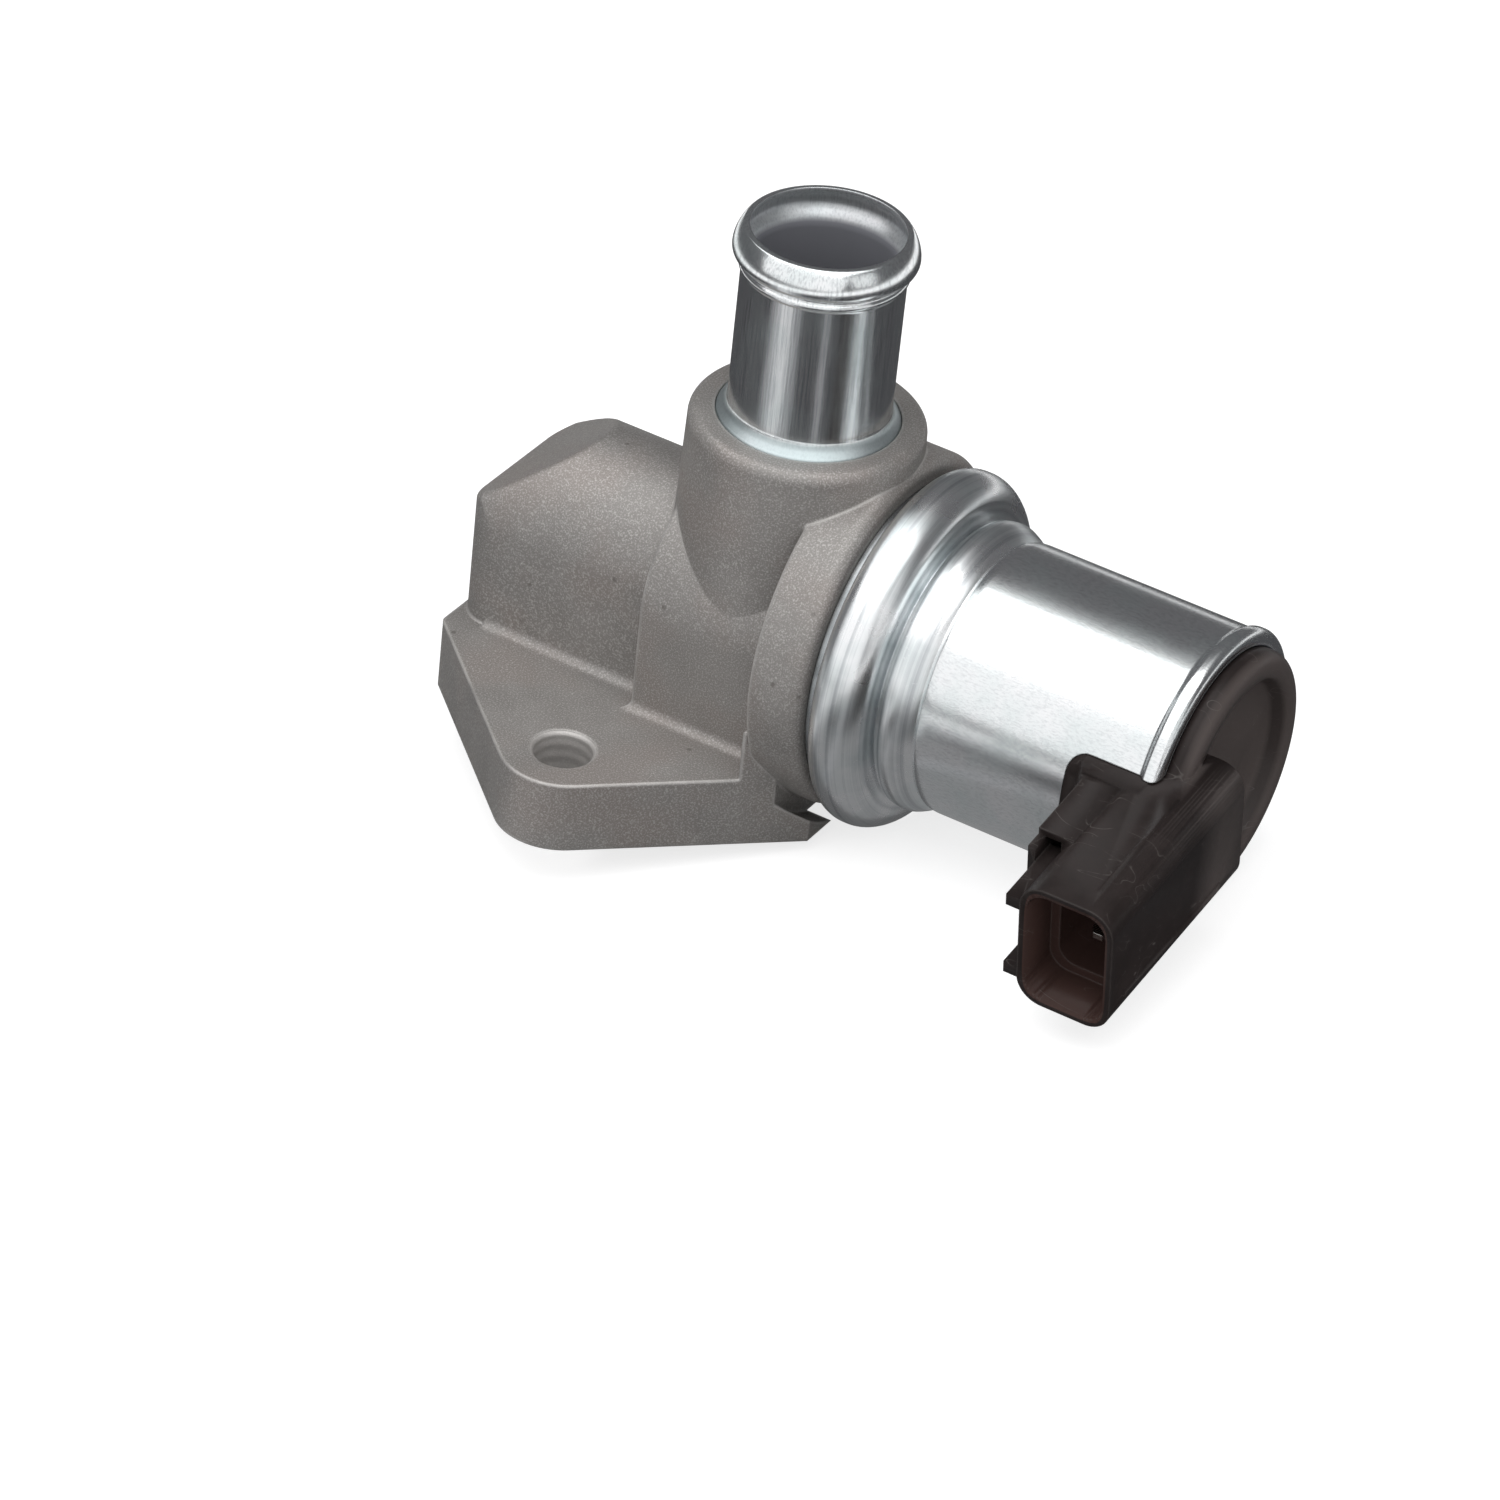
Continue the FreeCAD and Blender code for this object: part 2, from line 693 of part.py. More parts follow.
def make_hose_nipple():
    body = new_body("hose_nipple")
    outer = dim.nipple_diameter / 2
    inner = outer - dim.nipple_wall
    mouth = dim.nipple_mouth / 2
    collar_base = dim.boss_height - dim.boss_recess_depth + dim.face_clearance
    collar_top = collar_base + dim.nipple_collar_thickness
    foot = collar_base - dim.nipple_seat_depth
    bead_top = dim.nipple_height - dim.bead_to_rim / 2
    bead_base = bead_top - dim.bead_width
    line_top = bead_base - dim.bead_line_width
    line_base = line_top - dim.bead_line_width
    flat = dim.bead_width / 4
    turn_upright(body, "nipple_tube", [
        (inner, foot), (outer, foot), (outer, collar_base),
        (dim.nipple_collar_radius, collar_base), (dim.nipple_collar_radius, collar_top),
        (outer, collar_top + dim.nipple_collar_rise), (outer, line_base), (dim.bead_line_radius, line_base),
        (dim.bead_line_radius, line_top), (outer, line_top), (outer, bead_base),
        (dim.bead_radius, bead_base + flat), (dim.bead_radius, bead_top - flat),
        (dim.bead_radius - flat, bead_top), (mouth + flat / 2, dim.nipple_height),
        (mouth, dim.nipple_height), (inner, dim.nipple_height - flat)],
        dim.nipple_place)
    round_edges(body, "bead_round", flat / 2,
                lambda edge: is_circle(edge, bead_base + flat, dim.bead_radius, "z")
                or is_circle(edge, bead_top - flat, dim.bead_radius, "z"))
    return body


def make_valve_seat():
    body = axis_body("valve_seat")
    back = dim.step_place - dim.partition_thickness / 2 + dim.face_clearance
    hole = dim.seat_hole / 2 - dim.press_clearance
    inner_lip = dim.seat_lip_radius - dim.seat_lip_width / 2
    outer_lip = dim.seat_lip_radius + dim.seat_lip_width / 2
    turn(body, "seat_ring", [
        (back, hole), (back, dim.seat_radius), (dim.step_place, dim.seat_radius),
        (seat_face, outer_lip), (seat_face, inner_lip),
        (seat_face - dim.seat_lip_width, hole)])
    return body


def make_plain_bush(name, front, length, outer, bore):
    body = axis_body(name)
    chamfer = (outer - bore) / 4
    turn(body, name + "_sleeve", [
        (front, bore), (front, outer - chamfer), (front + chamfer, outer),
        (front + length - chamfer, outer), (front + length, outer - chamfer),
        (front + length, bore)])
    return body


def make_ring(name, front, back, inner, outer):
    body = axis_body(name)
    turn(body, name + "_ring", [(front, inner), (front, outer), (back, outer), (back, inner)])
    return body


def make_poppet_valve():
    body = axis_body("poppet_valve")
    bore = stem_radius + dim.press_clearance
    spigot = dim.seal_inner_radius - dim.press_clearance
    turn(body, "poppet_disc", [
        (poppet_front + dim.seal_thickness / 3, bore),
        (poppet_front + dim.seal_thickness / 3, spigot),
        (poppet_disc, spigot), (poppet_disc, dim.poppet_radius),
        (poppet_disc + dim.poppet_thickness / 2, dim.poppet_radius),
        (poppet_back, dim.poppet_radius - dim.poppet_thickness / 2),
        (poppet_back, dim.poppet_hub_radius), (hub_end, dim.poppet_hub_radius),
        (hub_end, bore)])
    return body


def make_valve_stem():
    body = axis_body("valve_stem")
    collar_end = poppet_front + dim.seal_thickness / 3 - dim.face_clearance
    collar_front = collar_end - dim.stem_collar_width
    groove_front = hub_end + dim.face_clearance
    groove_end = groove_front + dim.clip_thickness + 2 * dim.face_clearance
    groove_radius = stem_radius - dim.clip_groove_depth
    tip = stem_radius / 3
    turn(body, "stem_rod", [
        (stem_front_place, zero), (stem_front_place, stem_radius - tip),
        (stem_front_place + tip, stem_radius), (collar_front, stem_radius),
        (collar_front, dim.stem_collar_radius), (collar_end, dim.stem_collar_radius),
        (collar_end, stem_radius), (groove_front, stem_radius),
        (groove_front, groove_radius), (groove_end, groove_radius),
        (groove_end, stem_radius), (dim.stem_rear_place - tip, stem_radius),
        (dim.stem_rear_place, stem_radius - tip), (dim.stem_rear_place, zero)])
    return body


def make_stem_clip():
    body = axis_body("stem_clip")
    front = hub_end + 2 * dim.face_clearance
    inner = stem_radius - dim.clip_groove_depth + dim.press_clearance
    turn(body, "clip_ring", [
        (front, inner), (front, dim.clip_radius),
        (front + dim.clip_thickness, dim.clip_radius), (front + dim.clip_thickness, inner)])
    sketch = new_sketch(body, "clip_mouth_outline", "YZ_Plane")
    add_outline(sketch, [(-inner, zero), (inner, zero),
                         (inner * 1.3, dim.clip_radius + 1),
                         (-inner * 1.3, dim.clip_radius + 1)])
    pocket(body, "clip_mouth", sketch, hub_end + dim.clip_radius, reverse=True)
    return body


def make_return_spring():
    # Between the poppet's back and the front plate
    body = axis_body("return_spring")
    wire = dim.spring_wire / 2
    start = poppet_back + dim.face_clearance + wire
    end = plate_front - dim.face_clearance - wire
    sketch = new_sketch(body, "wire_section", "XZ_Plane")
    add_circle(sketch, (start, dim.spring_radius), wire)
    coil = body.newObject("PartDesign::AdditiveHelix", "coil")
    coil.Profile = sketch
    coil.ReferenceAxis = (sketch, ["H_Axis"])
    coil.Mode = "pitch-height-angle"
    height = end - start
    pitch = height / dim.spring_turns
    coil.Pitch = pitch.number
    coil.Height = height.number
    coil.setExpression("Pitch", pitch.text)
    coil.setExpression("Height", height.text)
    doc.recompute()
    return body


def make_front_plate():
    body = axis_body("front_plate")
    spigot = dim.register_bore / 2 - dim.press_clearance
    bore = dim.front_bush_radius + dim.press_clearance
    groove_end = head_end - dim.seal_groove_inset
    groove_front = groove_end - dim.seal_groove_width
    groove_floor = spigot - dim.seal_groove_depth
    face = head_end + dim.face_clearance
    turn(body, "plate", [
        (plate_front, bore), (plate_front, spigot), (groove_front, spigot),
        (groove_front, groove_floor), (groove_end, groove_floor), (groove_end, spigot),
        (face, spigot), (face, dim.plate_step_radius), (plate_rim, dim.plate_step_radius),
        (plate_rim, dim.plate_rim_radius), (plate_end, dim.plate_rim_radius),
        (plate_end, bore)])
    return body


def make_body_seal():
    body = axis_body("body_seal")
    spigot = dim.register_bore / 2 - dim.press_clearance
    section = dim.body_seal_section / 2
    middle = head_end - dim.seal_groove_inset - dim.seal_groove_width / 2
    floor = spigot - dim.seal_groove_depth + dim.press_clearance
    sketch = new_sketch(body, "seal_section", "XZ_Plane")
    add_circle(sketch, (middle, floor + section), section)
    axis = sketch.addGeometry(Part.LineSegment(vector((0, 0)), vector((10, 0))), True)
    fix_point(sketch, axis, 1, (0, 0))
    fix_point(sketch, axis, 2, (10, 0))
    revolve(body, "seal_ring", sketch, False)
    return body


def make_solenoid_can():
    body = axis_body("solenoid_can", tilted=True)
    front = head_end + dim.can_front_gap
    mouth = dim.plate_step_radius + dim.press_clearance * 2
    flange_end = front + dim.can_flange_width
    cavity = dim.plate_rim_radius + dim.press_clearance * 2
    cavity_front = plate_rim - dim.face_clearance
    cavity_end = plate_end + dim.face_clearance
    valley_inner = dim.can_valley_radius - dim.can_wall
    curl = dim.can_flange_curl
    bead_front = flange_end + dim.can_valley_width
    bead_end = bead_front + dim.can_bead_width
    bead_slope = dim.can_bead_width / 5
    bead_inner = dim.can_bead_radius - dim.can_wall
    bead_middle = bead_front + dim.can_bead_width / 2
    bead_rise = dim.can_bead_radius - dim.can_valley_radius
    bead_round = (dim.can_bead_width * dim.can_bead_width / 4
                  + bead_rise * bead_rise) / (2 * bead_rise)
    bead_centre = (bead_middle, dim.can_bead_radius - bead_round)
    lip_front = dim.can_end_place - dim.can_lip_width
    lip_mouth = can_inner - dim.can_wall / 3
    turn(body, "drawn_shell", [
        (cavity_front, mouth), (cavity_front, cavity), (cavity_end, cavity),
        (cavity_end, valley_inner), (bead_front + bead_slope / 2, valley_inner),
        (bead_front + bead_slope, bead_inner), (bead_end - bead_slope, bead_inner),
        (bead_end - bead_slope / 2, valley_inner),
        (dim.can_barrel_place - bead_slope / 2, valley_inner),
        (dim.can_barrel_place + bead_slope, can_inner),
        (dim.can_end_place - dim.can_wall, can_inner),
        (dim.can_end_place - dim.can_wall, lip_mouth), (dim.can_end_place, lip_mouth),
        (dim.can_end_place, dim.can_lip_radius),
        (lip_front + dim.can_wall / 2, dim.can_lip_radius), (lip_front, dim.can_radius),
        (dim.can_barrel_place, dim.can_radius),
        (dim.can_barrel_place - bead_slope, dim.can_valley_radius),
        (bead_end, dim.can_valley_radius, bead_centre),
        (bead_front, dim.can_valley_radius), (flange_end, dim.can_valley_radius),
        (flange_end, dim.can_flange_radius), (front, dim.can_flange_radius),
        (front, mouth)])
    for name, radius, places in (
            ("flange_round", curl, [(front, dim.can_flange_radius),
                                    (flange_end, dim.can_flange_radius)]),
            ("valley_round", dim.can_valley_width / 2.5,
             [(flange_end, dim.can_valley_radius)]),
            ("lip_round", dim.can_wall * 0.7, [(dim.can_end_place, dim.can_lip_radius)])):
        round_edges(body, name, radius,
                    lambda edge: any(is_circle(edge, *place) for place in places))
    far = dim.can_end_place + 1
    half = dim.notch_half_height
    corner = dim.notch_corner_radius
    corner_x = dim.notch_place + corner
    sketch = new_sketch(body, "notch_outline", "XZ_Plane")
    add_outline(sketch, [(corner_x, half, (corner_x, half - corner)),
                         (dim.notch_place, half - corner),
                         (dim.notch_place, corner - half, (corner_x, corner - half)),
                         (corner_x, -half), (far, -half), (far, half)])
    pocket(body, "notch", sketch, dim.can_radius * 1.5, reverse=True)
    return body


def make_armature():
    body = axis_body("armature")
    outer = tube_radius - dim.armature_clearance
    bore = stem_radius + dim.press_clearance
    chamfer = dim.stop_gap
    turn(body, "armature_core", [
        (dim.armature_place, bore), (dim.armature_place, outer - chamfer),
        (dim.armature_place + chamfer, outer), (armature_end - chamfer, outer),
        (armature_end, outer - chamfer), (armature_end, bore)])
    return body


def make_pole_piece():
    body = axis_body("pole_piece")
    outer = tube_radius - dim.press_clearance
    bush_bore = dim.bush_radius + dim.press_clearance
    bush_end = pole_face + dim.rear_bush_length + dim.face_clearance
    turn(body, "pole_core", [
        (pole_face, bush_bore), (pole_face, outer), (dim.pole_end_place, outer),
        (dim.pole_end_place, stem_radius * 1.2), (bush_end, stem_radius * 1.2),
        (bush_end, bush_bore)])
    return body


def make_coil_bobbin():
    body = axis_body("coil_bobbin")
    bore = tube_radius + dim.tube_wall + dim.press_clearance
    front = plate_end + 2 * dim.face_clearance
    end = washer_front - dim.face_clearance
    hub = bore + dim.bobbin_wall
    turn(body, "bobbin", [
        (front, bore), (front, dim.bobbin_flange_radius),
        (front + dim.bobbin_flange_thickness, dim.bobbin_flange_radius),
        (front + dim.bobbin_flange_thickness, hub),
        (end - dim.bobbin_flange_thickness, hub),
        (end - dim.bobbin_flange_thickness, dim.bobbin_flange_radius),
        (end, dim.bobbin_flange_radius), (end, bore)])
    return body


def pad_box(body, name, place, end, low, high, start, reach):
    # A block of the plug's neck, from start to reach along the socket's axis.
    sketch = new_sketch(body, name + "_outline", "XZ_Plane", start)
    add_outline(sketch, [(place, low), (end, low), (end, high), (place, high)])
    return pad(body, name, sketch, reach - start)


def make_connector_cap():
    body = axis_body("connector_cap", tilted=True)
    plug_radius = can_inner - dim.press_clearance * 2
    lip_inner = can_inner - dim.can_wall / 3 - dim.press_clearance
    lip_front = dim.can_end_place - dim.can_wall - dim.face_clearance
    cap_outer = dim.cap_ring_radius
    cap_base = dim.can_end_place + dim.face_clearance
    floor = dim.cap_end_place - dim.cap_recess_depth
    turn(body, "cap", [
        (cap_front, zero), (cap_front, plug_radius), (lip_front, plug_radius),
        (lip_front, lip_inner), (cap_base, lip_inner), (cap_base, cap_outer),
        (dim.cap_end_place, cap_outer), (dim.cap_end_place, dim.cap_recess_radius),
        (floor, dim.cap_recess_radius - dim.cap_recess_depth / 2), (floor, zero)])
    round_edges(body, "cap_edge", dim.cap_edge_radius,
                lambda edge: is_circle(edge, dim.cap_end_place, cap_outer))

    # The plug's neck: it fills the can's notch and slopes up to the neck's own side
    notch_gap = dim.press_clearance * 2
    fill_place = dim.notch_place + notch_gap
    fill_height = dim.notch_half_height - notch_gap
    pad_box(body, "notch_fill", fill_place, dim.can_end_place - dim.can_wall,
            -fill_height, fill_height, dim.notch_fill_start, dim.can_radius)
    pad_box(body, "neck", fill_place, dim.connector_place + dim.connector_wall,
            -dim.neck_half_height, dim.neck_half_height, dim.notch_fill_start,
            dim.neck_top_reach)
    pad_box(body, "neck_side", dim.neck_place, dim.neck_place + dim.neck_wall,
            -dim.neck_half_height, dim.neck_half_height - dim.neck_wall,
            dim.neck_top_reach - 1, dim.neck_reach)
    flush = dim.can_radius + notch_gap
    far = dim.neck_reach + dim.neck_half_height
    turn(body, "neck_shape", [
        (fill_place - 1, flush), (dim.neck_place - dim.neck_slope, flush),
        (dim.neck_place, flush + dim.neck_slope_rise), (dim.neck_place, far),
        (fill_place - 1, far)], cut=True)

    # The plug's shell and its stepped socket
    half_height = dim.connector_height / 2
    end_x = dim.connector_place + dim.connector_width
    sketch = new_sketch(body, "shell_outline", "XZ_Plane", dim.connector_start)
    add_rounded_box(sketch, dim.connector_place, end_x, -half_height, half_height,
                    dim.connector_corner_radius)
    pad(body, "shell", sketch, dim.connector_reach - dim.connector_start)
    for name, wall, depth in (
            ("socket_mouth", dim.connector_wall, dim.socket_mouth_depth),
            ("socket", dim.connector_wall + dim.socket_step, dim.socket_depth)):
        sketch = new_sketch(body, name + "_outline", "XZ_Plane", dim.connector_reach)
        add_rounded_box(sketch, dim.connector_place + wall, end_x - wall,
                        wall - half_height, half_height - wall,
                        dim.connector_corner_radius - wall / 2)
        pocket(body, name, sketch, depth)
    pocket_height = dim.neck_half_height - dim.neck_wall
    sketch = new_sketch(body, "neck_pocket_outline", "XZ_Plane", dim.neck_reach)
    add_outline(sketch, [(dim.neck_place + dim.neck_wall, -pocket_height),
                         (dim.connector_place, -pocket_height),
                         (dim.connector_place, pocket_height),
                         (dim.neck_place + dim.neck_wall, pocket_height)])
    pocket(body, "neck_pocket", sketch, dim.neck_pocket_depth)

    # Guide ribs, parting ridge and side strip
    rib_root = dim.connector_place + dim.connector_wall / 2
    for name, place in (("upper_rib", dim.upper_rib_place), ("lower_rib", dim.lower_rib_place)):
        pad_box(body, name, dim.connector_place - dim.rib_height, rib_root,
                place - dim.rib_thickness / 2, place + dim.rib_thickness / 2,
                dim.neck_reach - dim.neck_pocket_depth / 2,
                dim.connector_reach - dim.rib_inset)
    pad_box(body, "parting_ridge", dim.ridge_place - dim.ridge_width / 2,
            dim.ridge_place + dim.ridge_width / 2, half_height - dim.connector_wall / 2,
            half_height + dim.ridge_height, dim.ridge_start,
            dim.connector_reach - dim.strip_inset)
    pad_box(body, "side_strip", end_x - dim.connector_wall / 2, end_x + dim.strip_height,
            dim.strip_place - dim.strip_width / 2, dim.strip_place + dim.strip_width / 2,
            dim.strip_start, dim.connector_reach - dim.strip_inset)
    half_slot = dim.terminal_width / 2 + dim.press_clearance
    slot = dim.terminal_thickness / 2 + dim.press_clearance
    slot_end = dim.connector_reach - dim.socket_depth + 1
    for name, middle in (("upper_slot", dim.terminal_pitch / 2),
                         ("lower_slot", -dim.terminal_pitch / 2)):
        sketch = new_sketch(body, name + "_outline", "XZ_Plane", slot_end)
        add_outline(sketch, [(connector_middle - half_slot, middle - slot),
                             (connector_middle + half_slot, middle - slot),
                             (connector_middle + half_slot, middle + slot),
                             (connector_middle - half_slot, middle + slot)])
        pocket(body, name, sketch, slot_end - dim.terminal_root + dim.face_clearance)
    return body


def make_terminal(name, middle):
    body = axis_body(name, tilted=True)
    half = dim.terminal_width / 2
    slab = dim.terminal_thickness / 2
    tip = half * 0.8
    sketch = new_sketch(body, name + "_outline", "XY_Plane", middle - slab)
    add_outline(sketch, [(connector_middle - half, -dim.terminal_root),
                         (connector_middle - half, tip - dim.terminal_reach),
                         (connector_middle - half / 2, -dim.terminal_reach),
                         (connector_middle + half / 2, -dim.terminal_reach),
                         (connector_middle + half, tip - dim.terminal_reach),
                         (connector_middle + half, -dim.terminal_root)])
    pad(body, name + "_blade", sketch, dim.terminal_thickness)
    return body


pieces = [
    make_valve_body(),
    make_hose_nipple(),
    make_valve_seat(),
    make_plain_bush("guide_bush", guide_place + dim.face_clearance, dim.guide_bush_length,
                    dim.bush_radius, stem_radius + dim.running_clearance),
    make_ring("poppet_seal", poppet_front, poppet_disc - dim.face_clearance,
              dim.seal_inner_radius, dim.seal_outer_radius),
    make_poppet_valve(),
    make_valve_stem(),
    make_stem_clip(),
    make_return_spring(),
    make_front_plate(),
    make_body_seal(),
    make_plain_bush("front_bush", plate_front, dim.front_bush_length,
                    dim.front_bush_radius, stem_radius + dim.running_clearance),
    make_solenoid_can(),
    make_ring("armature_tube", plate_end + dim.face_clearance, dim.pole_end_place,
              tube_radius, tube_radius + dim.tube_wall),
    make_armature(),
    make_ring("armature_shim", armature_end + dim.face_clearance,
              armature_end + dim.shim_thickness, stem_radius + dim.press_clearance,
              dim.shim_radius),
    make_pole_piece(),
    make_plain_bush("rear_bush", pole_face + dim.face_clearance, dim.rear_bush_length,
                    dim.bush_radius, stem_radius + dim.running_clearance),
    make_coil_bobbin(),
    make_ring("coil_winding",
              plate_end + dim.bobbin_flange_thickness + 3 * dim.face_clearance,
              washer_front - dim.bobbin_flange_thickness - 2 * dim.face_clearance,
              tube_radius + dim.tube_wall + dim.bobbin_wall + 2 * dim.press_clearance,
              dim.winding_radius),
    make_ring("flux_washer", washer_front, dim.pole_end_place,
              tube_radius + dim.tube_wall + dim.press_clearance,
              can_inner - dim.press_clearance * 2),
    make_ring("cap_seal", dim.pole_end_place + dim.face_clearance,
              dim.pole_end_place + dim.face_clearance + dim.cap_seal_thickness,
              tube_radius + dim.tube_wall, can_inner - dim.press_clearance * 2),
    make_connector_cap(),
    make_terminal("upper_terminal", dim.terminal_pitch / 2),
    make_terminal("lower_terminal", -dim.terminal_pitch / 2),
]

doc.recompute()
for item in doc.Objects:
    if "Invalid" in item.State or "Error" in item.State:
        raise RuntimeError("%s is %s" % (item.Name, item.State))
    if item.TypeId == "Sketcher::SketchObject" and not item.FullyConstrained:
        raise RuntimeError("%s is not fully constrained" % item.Name)
os.makedirs("parts", exist_ok=True)
for piece in pieces:
    shape = piece.Shape
    if shape.isNull() or not shape.isValid() or len(shape.Solids) != 1:
        raise RuntimeError("%s is not one sound solid" % piece.Label)
    shape.exportStep("parts/%s.step" % piece.Label)
    print("%-16s %9.1f mm3  %s" % (piece.Label, shape.Volume, shape.BoundBox))
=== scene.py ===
import json
import math

import bpy
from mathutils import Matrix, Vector


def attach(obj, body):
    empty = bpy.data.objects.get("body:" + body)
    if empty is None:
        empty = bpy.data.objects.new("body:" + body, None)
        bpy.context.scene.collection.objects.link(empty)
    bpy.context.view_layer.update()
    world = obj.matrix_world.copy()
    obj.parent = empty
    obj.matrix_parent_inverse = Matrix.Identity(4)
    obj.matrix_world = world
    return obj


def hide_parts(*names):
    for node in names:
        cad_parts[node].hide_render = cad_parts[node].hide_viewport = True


# Idle air control valve of a car engine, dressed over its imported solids.
# Metres, in the solids' own frame: the flange's face is z = 0, the valve axis runs
# along +X to the plug end, and the hose nipple stands up along +Z.

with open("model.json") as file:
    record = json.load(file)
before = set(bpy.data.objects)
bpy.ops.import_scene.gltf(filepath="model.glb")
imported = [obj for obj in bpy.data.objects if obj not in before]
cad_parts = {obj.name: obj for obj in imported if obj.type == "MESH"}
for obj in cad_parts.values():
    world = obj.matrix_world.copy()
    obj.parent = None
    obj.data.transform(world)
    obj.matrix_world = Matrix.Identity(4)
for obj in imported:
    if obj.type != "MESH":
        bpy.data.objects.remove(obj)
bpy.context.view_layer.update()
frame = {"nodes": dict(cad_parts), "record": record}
nodes = frame["nodes"]
print("loaded", len(nodes), "solids")

mm = 0.001
axisHeight = 21.8 * mm
tubePlace = 12.5 * mm
plugLean = 9.0  # degrees that the plug's side of can and cap leans down
mergeReach = 0.001 * mm
pickReach = 0.003 * mm
waveRun = 0.314  # a wave texture of scale 1 repeats after this many metres


def linearColour(hexText):
    # sRGB hex to the linear values that the shaders use
    parts = [int(hexText[place:place + 2], 16) / 255 for place in (1, 3, 5)]
    return tuple(part / 12.92 if part <= 0.04045 else ((part + 0.055) / 1.055) ** 2.4
                 for part in parts) + (1.0,)


def addNode(tree, kind, settings=None, inputs=None):
    # An input, by name or in order, is a value, a hex colour, or what feeds it: a socket,
    # or a node by its first output. In order, Map Range takes the value, the two ends
    # that it comes from and the two that it goes to
    node = tree.nodes.new("ShaderNode" + kind)
    for key, value in (settings or {}).items():
        setattr(node, key, value)
    given = inputs.items() if isinstance(inputs, dict) else enumerate(inputs or [])
    for key, value in given:
        if isinstance(value, bpy.types.Node):
            value = value.outputs[0]
        if isinstance(value, bpy.types.NodeSocket):
            tree.links.new(value, node.inputs[key])
        elif isinstance(value, str):
            node.inputs[key].default_value = linearColour(value)
        else:
            node.inputs[key].default_value = value
    return node


def newMaterial(name):
    material = bpy.data.materials.new(name)
    material.use_nodes = True
    material.node_tree.nodes.clear()
    return material, material.node_tree


def layColours(tree, look, base, layers):
    # Colours laid over each other: each layer's mask, how much of it shows, its colour
    colour = look[base]
    for mask, amount, tone in layers:
        share = addNode(tree, "Math", {"operation": "MULTIPLY"}, [mask, amount])
        colour = addNode(tree, "Mix", {"data_type": "RGBA"}, {
            0: share, 6: colour, 7: look[tone]}).outputs[2]
    return colour


def softEdges(tree, radius):
    # The shading of rounded edges, and a mask that is 1 on an edge and 0 on flat faces
    bevel = addNode(tree, "Bevel", {"samples": 6}, {"Radius": radius})
    geometry = addNode(tree, "NewGeometry")
    alike = addNode(tree, "VectorMath", {"operation": "DOT_PRODUCT"},
                    [bevel, geometry.outputs["Normal"]])
    edge = addNode(tree, "MapRange", None, [alike.outputs["Value"], 0.995, 0.86])
    return bevel, edge


def hairScratches(tree, coords, look, patches):
    # Thin lines where a stretched noise crosses its middle, in some patches only
    stretched = addNode(tree, "Mapping", None, {
        "Vector": coords, "Scale": look["scratchStretch"]})
    lines = addNode(tree, "TexNoise", None, {
        "Vector": stretched, "Scale": 1 / look["scratchSize"], "Detail": 1,
        "Distortion": look["scratchBend"]})
    offMiddle = addNode(tree, "Math", {"operation": "SUBTRACT"}, [lines, 0.5])
    away = addNode(tree, "Math", {"operation": "ABSOLUTE"}, [offMiddle])
    thin = addNode(tree, "MapRange", None, [away, look["scratchWidth"], 0.001])
    return addNode(tree, "Math", {"operation": "MULTIPLY"}, [thin, patches])


castLook = {
    # edge is a pale colour for the painted highlight on edges and the painted glints,
    # also for the grain's lighter tone and the hole walls' painted light
    "face": "#908d8a", "dark": "#878481", "warm": "#8d8783", "edge": "#d2cfcc",
    "pit": "#68635f", "metallic": 0.5, "roughness": (0.48, 0.58), "edgeShine": 0.12,
    "grain": 0.20 * mm, "mottle": 6.0 * mm, "patch": 11 * mm, "paintedGlint": 0.8 * mm,
    "pitSpacing": 6.5 * mm, "pitDepth": 0.8, "edgeRadius": 0.7 * mm,
    "boltPlace": 27.2 * mm, "boltWall": (3.9 * mm, 3.8 * mm), "drillPitch": 1.6 * mm,
    "drillDepth": 2.5, "bump": 0.55, "bumpHeight": 0.05 * mm,
}


